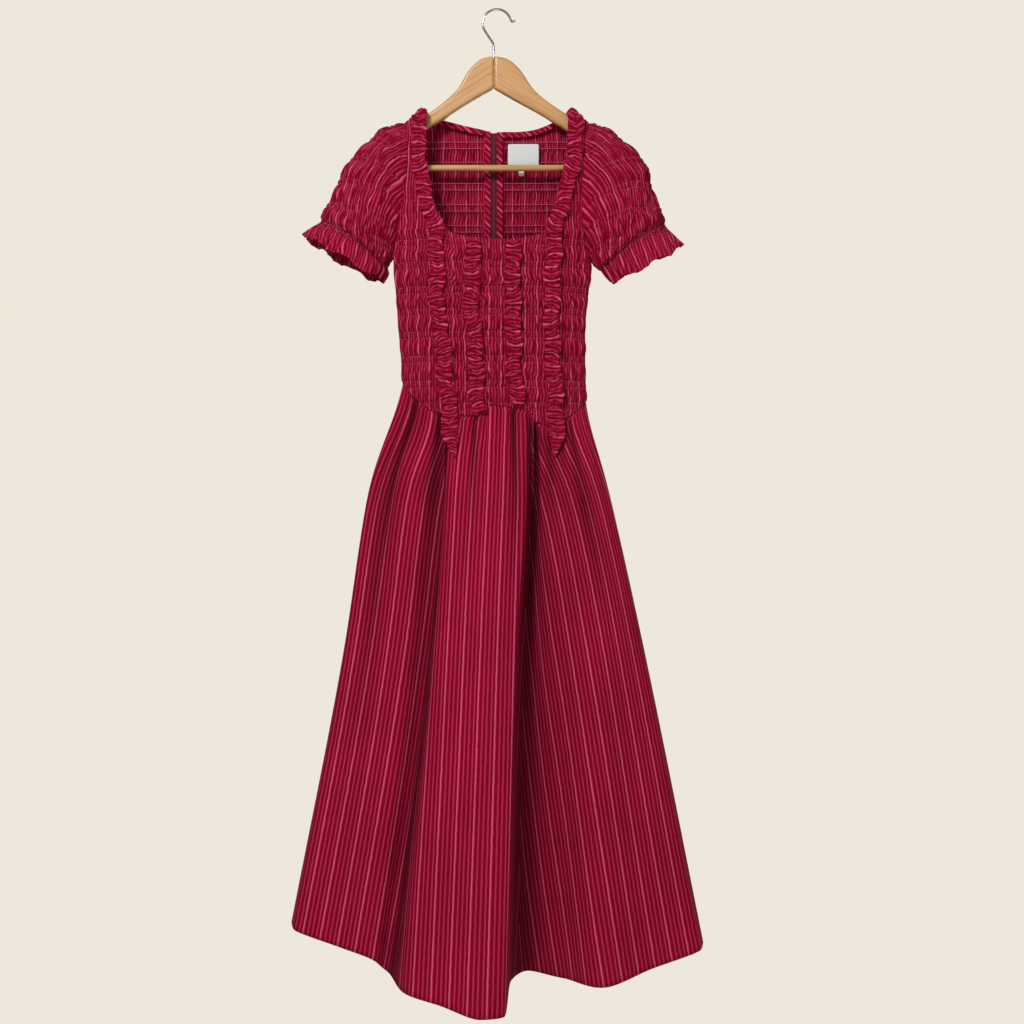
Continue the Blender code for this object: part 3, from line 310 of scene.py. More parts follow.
def linear(hex_colour):
    """An sRGB hex colour as linear red, green and blue."""
    parts = [int(hex_colour[k : k + 2], 16) / 255 for k in (1, 3, 5)]
    return [c / 12.92 if c <= 0.04045 else ((c + 0.055) / 1.055) ** 2.4 for c in parts]


# Settings


def size_prop(name, description, millimetres):
    return FloatProperty(
        name=name, description=description, default=millimetres * MM, min=0.0, subtype="DISTANCE",
        unit="LENGTH", precision=5,
    )


def colour_prop(name, description, hex_colour):
    return FloatVectorProperty(
        name=name, description=description, default=linear(hex_colour), size=3, min=0.0, max=1.0,
        subtype="COLOR",
    )


class DressClothSettings(bpy.types.PropertyGroup):
    """Sizes and colours of the striped cotton."""

    ground: colour_prop("Ground", "Colour of the cloth between its stripes", "#870020")
    stripe: colour_prop("Stripe", "Colour of the broad stripes", "#ad2c50")
    bright: colour_prop("Bright line", "Colour of the fine line on every fourth stripe", "#d65c7c")
    thread: colour_prop("Thread", "Colour of the elastic rows' stitches", "#da6785")
    stripe_pitch: size_prop("Stripe pitch", "Distance from stripe to stripe", 6.5)
    puff_rise: size_prop("Puff", "How far the cloth puffs out between two rows of elastic", 3.0)
    gather_rise: size_prop("Gather", "Height of the small gathers in a puff", 2.1)


class DressRuffleSettings(bpy.types.PropertyGroup):
    """Sizes of the gathered strips."""

    wave: size_prop("Wave", "Length of one wave along a ruffle", 8.6)
    lift: size_prop("Lift", "How far a ruffle's edge stands up", 6.0)
    sway: size_prop("Sway", "How far a ruffle's edge swings along the strip", 2.4)
    seed: IntProperty(name="Seed", description="Seed of the uneven waves", default=7)


class DressTrimSettings(bpy.types.PropertyGroup):
    """Colours of the zip and the label."""

    tape: colour_prop("Zip tape", "Colour of the zip's woven tape", "#560a1c")
    coil: colour_prop("Zip coil", "Colour of the zip's nylon teeth", "#74455a")
    metal: colour_prop("Metal", "Colour of the zip's slider", "#8d8587")
    label: colour_prop("Label", "Colour of the bare woven label", "#dcdedd")


class DressHangerSettings(bpy.types.PropertyGroup):
    """Colours of the hanger."""

    wood: colour_prop("Wood", "Colour of the light wood between its grain lines", "#c9965b")
    grain: colour_prop("Grain", "Colour of the wood's grain lines", "#ab723f")
    chrome: colour_prop("Hook", "Colour of the hook's plating", "#dcdcda")


class DressStageSettings(bpy.types.PropertyGroup):
    """The floor, the lights and the backdrop's colour."""

    backdrop: colour_prop("Backdrop", "Colour behind the dress", "#eee7db")
    floor: colour_prop("Floor", "Colour of the floor", "#e9e2d6")
    fill: FloatProperty(name="Fill", description="Strength of the light from all round", default=0.24)
    key: FloatProperty(name="Key", description="Power of the soft light at the upper left", default=55.0)


# Curves and surfaces, in millimetres


def smooth(knots, values, places):
    """Values at the places on a smooth curve through the knots that doesn't overshoot.

    values has one row for each knot, and where it has columns, one for each place.
    """
    knots = np.asarray(knots, float)
    places = np.asarray(places, float)
    flat = np.clip(places.ravel(), knots[0], knots[-1])
    values = np.asarray(values, float).reshape(len(knots), -1)
    rises = np.diff(values, axis=0) / np.diff(knots)[:, None]
    product = rises[1:] * rises[:-1]
    total = np.where(product > 0, rises[1:] + rises[:-1], 1.0)
    slopes = np.vstack((rises[:1], np.where(product > 0, 2 * product / total, 0.0), rises[-1:]))
    k = np.clip(np.searchsorted(knots, flat, side="right") - 1, 0, len(knots) - 2)
    at = np.arange(flat.size) if values.shape[1] > 1 else 0 * k
    width = np.diff(knots)[k]
    f = (flat - knots[k]) / width
    made = (
        values[k, at] * (1 + 2 * f) * (1 - f) ** 2
        + values[k + 1, at] * f * f * (3 - 2 * f)
        + width * (slopes[k, at] * f * (1 - f) ** 2 - slopes[k + 1, at] * f * f * (1 - f))
    )
    return made.reshape(places.shape)


def curve(table, value=1):
    rows = np.array(table, float)
    return lambda places: smooth(rows[:, 0], rows[:, value], places)


neck_edge, body_edge, body_depth = (
    {-1: curve(table, 1), 1: curve(table, 2)} for table in (NECK_EDGE, BODY_EDGE, BODY_DEPTH)
)
waist_seam = {-1: curve(FRONT_WAIST), 1: curve(BACK_WAIST)}
back_top = curve(BACK_TOP)


def arch(below_shoulder):
    """How far the cloth has come out from the shoulder line, 0 to 1, a quarter of a round."""
    part = np.clip(below_shoulder / SHOULDER_ARCH, 0.0, 1.0)
    return np.sqrt(1 - (1 - part) ** 2)


def shoulder_drop(x):
    return NECK_POINT_DROP + SHOULDER_SLOPE * (np.abs(x) - NECK_POINT_X)


def arm_edge_depth(drop):
    """Depth of the armhole seam: full at the top, closing to nothing at the underarm."""
    part = np.clip((drop - ARM_CLOSING_DROP) / (UNDERARM_DROP - ARM_CLOSING_DROP), 0, 1)
    return ARM_DEPTH * np.sqrt(1 - part * part)


def body_point(x, drop, side):
    """A point of the body's cloth, in front or behind."""
    left, right = body_edge[-1](drop), body_edge[1](drop)
    share = np.minimum(np.abs(x - (left + right) / 2) / ((right - left) / 2), 1.0)
    edge = arm_edge_depth(drop) ** SECTION_POWER
    full = np.maximum(body_depth[side](drop) ** SECTION_POWER, edge)
    depth = (edge + (full - edge) * (1 - share**SECTION_POWER)) ** (1 / SECTION_POWER)
    y = side * (depth * arch(drop - shoulder_drop(x)) - SEAM_LAP)
    return np.stack(np.broadcast_arrays(x, y, -drop), -1)


def unit(vectors):
    return vectors / np.linalg.norm(vectors, axis=-1, keepdims=True)


def facings(points, outward):
    """Unit normals of a grid of points, on the side that outward points to."""
    normals = np.cross(np.gradient(points, axis=1), np.gradient(points, axis=0))
    length = np.linalg.norm(normals, axis=-1, keepdims=True)
    normals = np.where(length > 1e-9, normals / np.maximum(length, 1e-9), outward)
    turned = np.sum(normals * outward, -1, keepdims=True) < 0
    return np.where(turned, -normals, normals)


def run_lengths(points, axis):
    """Distance along a grid's rows or columns from its first point."""
    steps = np.linalg.norm(np.diff(points, axis=axis), axis=-1)
    zero = np.zeros_like(np.take(steps, [0], axis=axis))
    return np.concatenate((zero, np.cumsum(steps, axis=axis)), axis=axis)


def shirred(across, along, lines, rise, gather, seed):
    """Cloth gathered on rows of elastic: how far it stands up and its stripes wander, and the painted shade
    of its creases.

    lines are the places of the stitched lines, two to a row of elastic, in the units of along.
    """
    dice = np.random.default_rng(seed)
    lines = np.asarray(lines, float)
    band = np.clip(np.searchsorted(lines, along) - 1, 0, len(lines) - 2)
    width = (lines[1:] - lines[:-1])[band]
    share = np.clip((along - lines[band]) / width, 0, 1)
    puff = np.sin(math.pi * share) ** 0.55
    full = np.clip(width / FULL_PUFF, 0.3, 1.0)
    phases = dice.uniform(0, TURN, (len(lines), len(GATHER_WAVES)))[band]
    folds = 0.0
    for k, (pitch, size) in enumerate(GATHER_WAVES):
        lean = 0.9 * np.sin(along / (7.0 + 2 * k) + across / 19.0 + 2.1 * k)
        turn = math.pi * across / pitch + phases[..., k] + lean
        folds = folds + size * (2 * np.abs(np.sin(turn)) ** 0.8 - 1)
    height = puff * (rise * full + gather * folds * (0.4 + 0.6 * full))
    # painted shade: dark at the bottom of the small gathers, in the narrow channels along the elastic and
    # over narrow bands between rows
    crease = np.clip((0.5 - folds) / 1.1, 0, 1) * puff + 0.25 * (1 - puff) + 0.12 * (1 - full)
    shifts = dice.uniform(0, TURN, (len(lines) + 1, 3))
    wander = 0.0
    for at, weight in ((band, 1 - share), (band + 1, share)):
        moved = 0.3 * (shifts[at, 2] - math.pi)
        for k, (pitch, size) in enumerate(WANDER_WAVES):
            moved = moved + size * np.sin(TURN * across / pitch + shifts[at, k])
        wander = wander + moved * weight
    return height, wander, np.clip(crease, 0, 1)


# Meshes, pieces and nodes


def linked(name, data):
    """A new object in the scene."""
    made = bpy.data.objects.new(name, data)
    bpy.context.scene.collection.objects.link(made)
    return made


def dress_piece(made, slot_name, *nodes):
    """Makes a finished object a piece that rides on the dress and stands for some nodes."""
    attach(made, "dress")
    if nodes:
        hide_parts(*nodes)
    return made


def shaped_mesh(made):
    """An object's shape as a plain mesh."""
    bpy.context.view_layer.update()
    return bpy.data.meshes.new_from_object(made.evaluated_get(bpy.context.evaluated_depsgraph_get()))


def applied(made):
    """Leaves the result of an object's modifiers as its plain mesh."""
    mesh = shaped_mesh(made)
    made.modifiers.clear()
    made.data = mesh
    return made


def modified(made, name, kind, **settings):
    change = made.modifiers.new(name, kind)
    for title, value in settings.items():
        setattr(change, title, value)
    return made


def walled(made, thickness):
    """Gives a sheet its cloth's thickness, inwards from the outer face."""
    wall = {"thickness": thickness * MM, "offset": -1, "use_quality_normals": True}
    return applied(modified(made, "cloth", "SOLIDIFY", **wall))


def turned_out(mesh, change=None):
    """A mesh with its faces pointed outwards, after a change to it as a bmesh."""
    body = bmesh.new()
    body.from_mesh(mesh)
    if change:
        change(body)
    bmesh.ops.recalc_face_normals(body, faces=body.faces)
    body.to_mesh(mesh)
    body.free()
    return mesh


def grid_mesh(name, points, pattern, outward, kept=None, same=(), **layers):
    """A mesh of quads on a grid of points in mm, with the pattern's place in mm as its UV map.

    kept says which quads are cloth. same has pairs of columns that are one in the mesh, each with
    its own place in the pattern. layers are numbers or directions that the points carry; one of them
    is painted shade, 0 on open cloth and 1 at the bottom of a fold, which darkens the cloth's colour.
    """
    rows, columns = points.shape[:2]
    spots = np.arange(rows * columns).reshape(rows, columns)
    index = spots.copy()
    for column, first in same:
        index[:, column] = index[:, first]
    quads, corners = (
        np.stack((at[:-1, :-1], at[:-1, 1:], at[1:, 1:], at[1:, :-1]), -1) for at in (index, spots)
    )
    normals = np.cross(points[1:, :-1] - points[:-1, 1:], points[1:, 1:] - points[:-1, :-1])
    if np.sum(normals * np.broadcast_to(outward, points.shape)[:-1, :-1]) < 0:
        quads, corners = quads[..., ::-1], corners[..., ::-1]
    if kept is not None:
        quads, corners = quads[kept], corners[kept]
    used, packed = np.unique(quads, return_inverse=True)
    mesh = bpy.data.meshes.new(name)
    mesh.from_pydata((points.reshape(-1, 3)[used] * MM).tolist(), [], packed.reshape(-1, 4).tolist())
    places = pattern.reshape(-1, 2)[corners.ravel()] * MM
    mesh.uv_layers.new(name="cloth").data.foreach_set("uv", places.ravel())
    for title, values in layers.items():
        kind, field, size = ("FLOAT_VECTOR", "vector", 3) if np.ndim(values) == 3 else ("FLOAT", "value", 1)
        spread = np.broadcast_to(values, points.shape if size == 3 else points.shape[:2])
        spread = np.ascontiguousarray(spread.reshape(-1, size)[used], np.float32)
        mesh.attributes.new(title, kind, "POINT").data.foreach_set(field, spread.ravel())
    mesh.shade_smooth()
    return mesh


def cloth_piece(node, points, pattern, outward, material=None, slot_name="striped_cotton",
                wall=COTTON_WALL, **rest):
    """A piece of cloth that stands for a node, made on a grid of points in mm."""
    made = linked(f"{node}_cloth", grid_mesh(f"{node}_cloth", points, pattern, outward, **rest))
    made.data.materials.append(material or striped_cotton("yarn_dyed_cotton_poplin"))
    return dress_piece(walled(made, wall), slot_name, node)


def add_node(tree, kind, inputs=(), out=0, **settings):
    """Adds a node with its settings, and its inputs' values or the sockets that feed them.

    Gives the node's output socket, or the node where it has none. Shader kinds go by their short name.
    """
    node = tree.nodes.new(kind if "Node" in kind else f"ShaderNode{kind}")
    for name, value in settings.items():
        setattr(node, name, value)
    for name, value in inputs.items() if isinstance(inputs, dict) else enumerate(inputs):
        if isinstance(value, bpy.types.NodeSocket):
            tree.links.new(value, node.inputs[name])
        else:
            node.inputs[name].default_value = value
    return node.outputs[out] if len(node.outputs) else node


def emptied(owner):
    """The function that adds a node to the emptied tree of a material or world."""
    owner.use_nodes = True
    owner.node_tree.nodes.clear()
    return partial(add_node, owner.node_tree)


def finished(material, node, colour, roughness, bump, **more):
    """A material ended in its shader; bump is its strength, its depth in metres and its height."""
    normal = node("Bump", dict(zip(("Strength", "Distance", "Height"), bump)))
    inputs = {"Base Color": colour, "Roughness": roughness, "Normal": normal}
    inputs.update({name.replace("_", " "): value for name, value in more.items()})
    node("OutputMaterial", [node("BsdfPrincipled", inputs)])
    return material


def made_once(maker):
    """Gives the material of that name where it has been made already."""
    return lambda name, *values: bpy.data.materials.get(name) or maker(name, *values)


def rgba(colour):
    return (*colour, 1.0)


# Materials


@made_once
def striped_cotton(name, slant=0.0):
    """Yarn-dyed cotton poplin: matt, crimson, with broad pink stripes and a fine bright line on some.

    A plain weave scatters light widely, so it is rough and barely shines. The stripes are dyed
    yarns, so they lie along the cloth's UV map, or at a slant where it is cut on the bias, and
    have soft, slightly uneven edges. The real threads are 0.2 mm apart; they are drawn 1.4 mm
    apart so that they just show.
    """
    cloth = bpy.context.scene.dress_cloth
    material = bpy.data.materials.new(name)
    node = emptied(material)
    place = node("UVMap", uv_map="cloth")
    if slant:
        place = node("Mapping", {"Vector": place, "Rotation": (0, 0, math.radians(slant))})
    slub = node("TexNoise", {"Vector": place, "Scale": 90.0, "Detail": 2.0}, noise_dimensions="2D")
    wobble = node("Math", (slub, 0.0012, -0.0006), operation="MULTIPLY_ADD")
    run = node("Math", (node("SeparateXYZ", [place]), wobble), operation="ADD")
    colour = rgba(cloth.ground)
    # shift and half the spacing in stripes, where the edge starts and ends, strength, dye
    for shift, half, start, end, strength, dye in (
        (0.0, 0.5, 0.54, 0.80, 1.0, cloth.stripe), (0.65, 2.0, 0.905, 0.965, 0.85, cloth.bright),
    ):
        half *= cloth.stripe_pitch
        line = node("Math", (run, shift * cloth.stripe_pitch), operation="ADD")
        line = node("Math", (node("Math", (line, half), operation="PINGPONG"), half), operation="DIVIDE")
        share = node("MapRange", (line, start, end, 0.0, strength), interpolation_type="SMOOTHSTEP")
        colour = node("Mix", {0: share, 6: colour, 7: rgba(dye)}, 2, data_type="RGBA")
    cloudy = node("TexNoise", {"Vector": place, "Scale": 11.0, "Detail": 3.0}, noise_dimensions="2D")
    depth = node("MapRange", (cloudy, 0.25, 0.75, 0.92, 1.09))
    # painted shade: a point attribute darkens the colour by up to 62 % at creases, hollows and seams,
    # standing in for the shade that neighbouring cloth casts there
    crease = node("Attribute", out="Fac", attribute_name="crease")
    crease = node("Math", (crease, -0.62, 1.0), operation="MULTIPLY_ADD")
    # the cloth's random cloudy tone, times that painted shade
    depth = node("Math", (depth, crease), operation="MULTIPLY")
    colour = node("VectorMath", (colour, depth), operation="MULTIPLY")
    thread = {"Vector": place, "Scale": 230.0, "Distortion": 1.5, "Detail": 1.0}
    weave = [node("TexWave", thread, "Fac", bands_direction=way) for way in "XY"]
    relief = node("Math", (slub, 1.4, node("Math", weave, operation="MULTIPLY")), operation="MULTIPLY_ADD")
    rough = node("MapRange", {0: slub, 3: 0.76, 4: 0.92})
    bump = (0.35, 0.0006, relief)
    return finished(material, node, colour, rough, bump, IOR=1.45, Specular_IOR_Level=0.07)


@made_once
def sewing_thread(name, colour):
    """Spun polyester thread: two plies twisted together, so it is finely ribbed and a little silky."""
    material = bpy.data.materials.new(name)
    node = emptied(material)
    twist = {"Vector": node("TexCoord", out="Object"), "Scale": 420.0, "Distortion": 0.6}
    twist = node("TexWave", twist, "Fac", bands_direction="DIAGONAL")
    dark = rgba([0.72 * c for c in colour])
    shade = node("Mix", {0: twist, 6: dark, 7: rgba(colour)}, 2, data_type="RGBA")
    return finished(material, node, shade, 0.55, (0.4, 0.0002, twist), Specular_IOR_Level=0.2)


def woven_tape(name, colour, threads):
    """Woven polyester tape: a close twill of filament yarn, even and slightly shiny."""
    material = bpy.data.materials.new(name)
    node = emptied(material)
    place = node("UVMap", uv_map="cloth")
    twill = {"Vector": place, "Scale": threads, "Distortion": 0.4}
    twill = node("TexWave", twill, "Fac", bands_direction="DIAGONAL")
    ribs = node("TexWave", {"Vector": place, "Scale": threads * 0.8}, "Fac", bands_direction="X")
    relief = node("Math", (twill, ribs), operation="ADD")
    tone = node("Math", (relief, 0.14, 0.80), operation="MULTIPLY_ADD")
    shade = node("VectorMath", (colour, tone), operation="MULTIPLY")
    rough = node("Math", (twill, 0.2, 0.5), operation="MULTIPLY_ADD")
    return finished(material, node, shade, rough, (0.4, 0.0003, relief), Specular_IOR_Level=0.15)


def varnished_beech(name, turn):
    """Steamed beech under a thin satin varnish: pale tan, with fine straight grain and short flecks.

    The growth lines are about 4 mm apart and run along the stick, so the pattern is stretched
    along it; turn is the stick's angle from level. The varnish fills the pores and gives a soft
    shine over rougher wood.
    """
    hanger = bpy.context.scene.dress_hanger
    material = bpy.data.materials.new(name)
    node = emptied(material)
    along = node("Mapping", {"Vector": node("TexCoord", out="Object"), "Rotation": (0, turn, 0)})
    place = node("Mapping", {"Vector": along, "Scale": (14.0, 120.0, 240.0)})
    grain = node("TexNoise", {"Vector": place, "Scale": 1.0, "Detail": 5.0, "Distortion": 0.6})
    place = node("Mapping", {"Vector": along, "Scale": (160.0, 900.0, 1500.0)})
    flecks = node("TexVoronoi", {"Vector": place, "Scale": 1.0}, "Distance")
    lines = node("MapRange", (grain, 0.42, 0.66), interpolation_type="SMOOTHSTEP")
    spots = node("MapRange", (flecks, 0.05, 0.22, 0.5, 0.0))
    colour = rgba(hanger.wood)
    for marks, strength in ((lines, 0.55), (spots, 0.5)):
        share = node("Math", (marks, strength), operation="MULTIPLY")
        colour = node("Mix", {0: share, 6: colour, 7: rgba(hanger.grain)}, 2, data_type="RGBA")
    rough = node("Math", (grain, 0.2, 0.34), operation="MULTIPLY_ADD")
    bump = (0.15, 0.0003, grain)
    return finished(material, node, colour, rough, bump, Coat_Weight=0.35, Coat_Roughness=0.28)


def plated_metal(name, colour, roughness, scratch):
    """Plated steel: bright nickel-chrome on the hook, duller on the zip, with fine rubbed scratches."""
    material = bpy.data.materials.new(name)
    node = emptied(material)
    place = node("Mapping", {"Vector": node("TexCoord", out="Object"), "Scale": (900.0, 900.0, 160.0)})
    rubbed = node("TexNoise", {"Vector": place, "Scale": 1.0, "Detail": 4.0})
    dark = rgba([0.86 * c for c in colour])
    shade = node("Mix", {0: rubbed, 6: dark, 7: rgba(colour)}, 2, data_type="RGBA")
    rough = node("Math", (rubbed, 0.12, roughness), operation="MULTIPLY_ADD")
    return finished(material, node, shade, rough, (scratch, 0.0001, rubbed), Metallic=1.0)


# Stitches and ruffles by Geometry Nodes


def new_tree(name, **sockets):
    """A geometry tree with its named inputs, the function that adds a node, and the inputs' sockets."""
    tree = bpy.data.node_groups.new(name, "GeometryNodeTree")
    for way in ("INPUT", "OUTPUT"):
        tree.interface.new_socket("Geometry", in_out=way, socket_type="NodeSocketGeometry")
    for title, value in sockets.items():
        kind = "NodeSocketMaterial" if value is None else "NodeSocketFloat"
        socket = tree.interface.new_socket(title, in_out="INPUT", socket_type=kind)
        if value is not None:
            socket.default_value = value
    node = partial(add_node, tree)
    return tree, node, node("NodeGroupInput").node.outputs


def end_tree(node, geometry, material):
    """Ends a geometry tree with its instances made real, in their material."""
    real = node("GeometryNodeRealizeInstances", [geometry])
    coloured = node("GeometryNodeSetMaterial", {"Geometry": real, "Material": material})
    node("NodeGroupOutput", [coloured])


def run_tree(made, tree, **values):
    """Runs a geometry tree on an object and leaves the result as its plain mesh."""
    change = made.modifiers.new(tree.name, "NODES")
    change.node_group = tree
    for item in tree.interface.items_tree:
        if item.in_out == "INPUT" and item.name in values:
            change[item.identifier] = values[item.name]
    return applied(made)


def stitch_tree():
    """Small rounded stitches set end to end along every line of the mesh."""
    if "stitches" in bpy.data.node_groups:
        return bpy.data.node_groups["stitches"]
    tree, node, given = new_tree("stitches", Pitch=0.0032, Length=0.0024, Width=0.0006, Thread=None)
    lines = node("GeometryNodeMeshToCurve", [given["Geometry"]])
    even = node("GeometryNodeResampleCurve", {"Curve": lines, "Length": given["Pitch"]}, mode="LENGTH")
    bead = node("GeometryNodeMeshUVSphere", {"Segments": 6, "Rings": 4, "Radius": 0.5})
    size = node("CombineXYZ", (given["Width"], given["Width"], given["Length"]))
    tangent = node("GeometryNodeInputTangent")
    turn = node("FunctionNodeAlignRotationToVector", {"Vector": tangent}, axis="Z")
    beads = {"Points": even, "Instance": bead, "Rotation": turn, "Scale": size}
    end_tree(node, node("GeometryNodeInstanceOnPoints", beads), given["Thread"])
    return tree


def stitches(name, lines, material, slot_name="striped_cotton", pitch=3.2, length=2.4, width=0.62):
    """A piece made of the stitches along some lines of points, in mm."""
    points, edges = [], []
    for line in lines:
        edges += [(len(points) + k, len(points) + k + 1) for k in range(len(line) - 1)]
        points += [tuple(c * MM for c in p) for p in line]
    mesh = bpy.data.meshes.new(name)
    mesh.from_pydata(points, edges, [])
    made = linked(name, mesh)
    sizes = {"Pitch": pitch * MM, "Length": length * MM, "Width": width * MM}
    run_tree(made, stitch_tree(), Thread=material, **sizes)
    made.data.shade_smooth()
    return dress_piece(made, slot_name)


def ruffle_tree():
    """Stands up the two edges of a flat strip in uneven waves.

    The strip's mesh carries where each point is: side, -1 to 1 across it, run, metres along it,
    and the directions out from the cloth, across the strip (over) and along it.
    """
    tree, node, given = new_tree("gathered_strip", Wave=0.0086, Lift=0.006, Sway=0.0024, Seed=7.0, Cloth=None)
    side, run = (node("GeometryNodeInputNamedAttribute", {"Name": title}) for title in ("side", "run"))
    sides = node("Math", (node("Math", [side], operation="SIGN"), 2.0), operation="MULTIPLY")
    place = node("CombineXYZ", (node("Math", (run, 60.0), operation="MULTIPLY"), sides, given["Seed"]))
    uneven = node("TexNoise", {"Vector": place, "Scale": 1.0, "Detail": 1.0})
    known = dict(given.items(), side=side, run=run, sides=sides, uneven=uneven)
    for name, operation, *inputs in (
        ("reach", "ABSOLUTE", "side"),
        ("reach", "POWER", "reach", 0.8),
        ("turns", "DIVIDE", "run", "Wave"),
        ("turns", "MULTIPLY_ADD", "uneven", 1.8, "turns"),
        ("turns", "MULTIPLY_ADD", "sides", 0.23, "turns"),
        ("angle", "MULTIPLY", "turns", TURN),
        ("wave", "SINE", "angle"),
        ("wave", "MULTIPLY_ADD", "wave", 0.42, 0.58),
        ("high", "MULTIPLY_ADD", "uneven", 1.1, 0.45),
        ("high", "MULTIPLY", "wave", "high"),
        ("lift", "MULTIPLY", "high", "reach"),
        ("out", "MULTIPLY", "lift", "Lift"),
        ("swing", "COSINE", "angle"),
        ("swing", "MULTIPLY", "swing", "reach"),
        ("along", "MULTIPLY", "swing", "Sway"),
        ("pull", "MULTIPLY", "high", "side"),
        ("over", "MULTIPLY", "pull", -0.0016),
    ):
        known[name] = node("Math", [known.get(value, value) for value in inputs], operation=operation)
    move = (0.0, 0.0, 0.0)
    for title in ("out", "along", "over"):
        way = node("GeometryNodeInputNamedAttribute", {"Name": title}, data_type="FLOAT_VECTOR")
        move = node("VectorMath", (way, known[title], move), operation="MULTIPLY_ADD")
    shaped = node("GeometryNodeSetPosition", {"Geometry": given["Geometry"], "Offset": move})
    end_tree(node, shaped, given["Cloth"])
    return tree


# Bodice


def elastic_lines(places, half=ELASTIC_HALF):
    """Both stitched lines of each row of elastic."""
    return sorted(place + side * half for place in places for side in (-1, 1))


def front_x(part, drop):
    """x on the bodice front: part 0 to 1 on the left strap, to 2 in the middle, to 3 on the right."""
    necks, edges = ([curves[side](drop) for side in (-1, 1)] for curves in (neck_edge, body_edge))
    left = edges[0] + (necks[0] - edges[0]) * np.clip(part, 0, 1)
    right = edges[1] + (necks[1] - edges[1]) * np.clip(3 - part, 0, 1)
    middle = necks[0] + (necks[1] - necks[0]) * np.clip(part - 1, 0, 1)
    return np.where(part < 1, left, np.where(part > 2, right, middle))


def rows_between(top, bottom, share, bend):
    """Drops from top to bottom, close together over the bend of the shoulder."""
    start = top + SHOULDER_BEND
    near = top + SHOULDER_BEND * (share / bend) ** 1.6
    far = start + (bottom - start) * (share - bend) / (1 - bend)
    return np.where(share < bend, near, far)


def front_grid():
    """Points of the bodice front, its drops, and which faces are cloth."""
    strap = np.linspace(0, 1, STRAP_COLUMNS + 1) ** 1.25
    part = np.concatenate((strap[:-1], np.linspace(1, 2, MIDDLE_COLUMNS + 1)[:-1], 3 - strap[::-1]))[None]
    bow = np.sin(math.pi * np.clip(part - 1, 0, 1))
    neck_drop = FRONT_NECK_DROP + FRONT_NECK_SAG * bow - NECK_CORNER * (1 - bow**0.35)
    top_x = front_x(part, np.full_like(part, NECK_POINT_DROP))
    top = np.where(np.abs(top_x) > NECK_POINT_X, shoulder_drop(top_x), NECK_POINT_DROP)
    share = np.linspace(0, 1, STRAP_ROWS + 1)[:, None]
    upper = rows_between(top, neck_drop, share, 0.16)
    upper_x = np.where(share > 0, front_x(part, np.maximum(upper, SHOULDER_TIP_DROP)), top_x)
    seam = waist_seam[-1](front_x(part, np.full_like(part, WAIST_DROP)))
    lower = neck_drop + (seam - neck_drop) * np.linspace(0, 1, BODICE_ROWS + 1)[1:, None]
    drop = np.concatenate((upper, lower))
    x = np.concatenate((upper_x, front_x(part, lower)))
    kept = np.ones((drop.shape[0] - 1, drop.shape[1] - 1), bool)
    kept[:STRAP_ROWS, STRAP_COLUMNS : STRAP_COLUMNS + MIDDLE_COLUMNS] = False
    return body_point(x, drop, -1), drop, kept


def back_grid(side):
    """Points and drops of one half of the back, from the arm edge to the zip."""
    zip_edge = ZIP_X + side * ZIP_OPEN_HALF
    part = np.linspace(0, 1, BACK_COLUMNS + 1)[None, :] ** 1.25
    tip, side_seam = body_edge[side](np.array((SHOULDER_TIP_DROP, WAIST_DROP)))
    top = back_top(tip + (zip_edge - tip) * part)
    bottom = waist_seam[1](side_seam + (zip_edge - side_seam) * part)
    drop = rows_between(top, bottom, np.linspace(0, 1, BACK_ROWS + 1)[:, None], 0.08)
    side_x = body_edge[side](np.maximum(drop, SHOULDER_TIP_DROP))
    return body_point(side_x + (zip_edge - side_x) * part, drop, 1), drop


def edge_fade(shape, beside=9, above=3):
    """1 inside a grid, falling to 0 over some columns and rows at its edges."""
    fades = []
    for size, margin in zip(shape, (above, beside)):
        at = np.arange(size)
        fades.append(np.clip(np.minimum(at, size - 1 - at) / margin, 0, 1))
    return fades[1][None, :] * fades[0][:, None]


def surface_lines(lifted, places, wanted, margin=3):
    """Lines across a grid of points where the places, which grow down its columns, have some values."""
    lines = []
    for value in wanted:
        inside = (places[0] + margin < value) & (value < places[-1] - margin)
        for run in np.split(np.arange(len(inside)), np.flatnonzero(np.diff(inside)) + 1):
            if inside[run[0]] and len(run) > 3:
                lines.append(
                    [[np.interp(value, places[:, c], lifted[:, c, k]) for k in range(3)] for c in run]
                )
    return lines


def shirred_panel(node, points, drop, elastics, side, seed, fade, inner, kept=None):
    """Makes a shirred panel, and gives it, its raised points and where its stitches lie.

    Between the inner columns stripes keep their x; beyond them they follow the cloth's bend.
    """
    cloth = bpy.context.scene.dress_cloth
    x, base = points[..., 0], run_lengths(points, 1)
    excess = base - np.abs(x - x[:, :1])
    inner = np.clip(np.arange(x.shape[1]), *inner)
    across = x + np.sign(x[-1, -1] - x[-1, 0]) * (excess - excess[:, inner])
    lines = (100, *elastic_lines(elastics), 640)
    rises = cloth.puff_rise / MM, cloth.gather_rise / MM
    height, wander, crease = shirred(across, drop, lines, *rises, seed)
    normals = facings(points, (0.0, side, 0.2))
    raised = points + normals * (height * fade)[..., None]
    runs = run_lengths(raised, 1)
    extra = runs - base * (runs[:, -1:] / base[:, -1:])
    pattern = np.stack((across * GATHERING + wander + 0.35 * extra, drop), -1)
    # the painted shade is weaker near the panel's edges, where the puffs fade out
    crease = crease * (0.3 + 0.7 * fade)
    made = cloth_piece(node, raised, pattern, (0, side, 0), kept=kept, crease=crease)
    return made, raised, raised + normals * SEAM_CLEAR


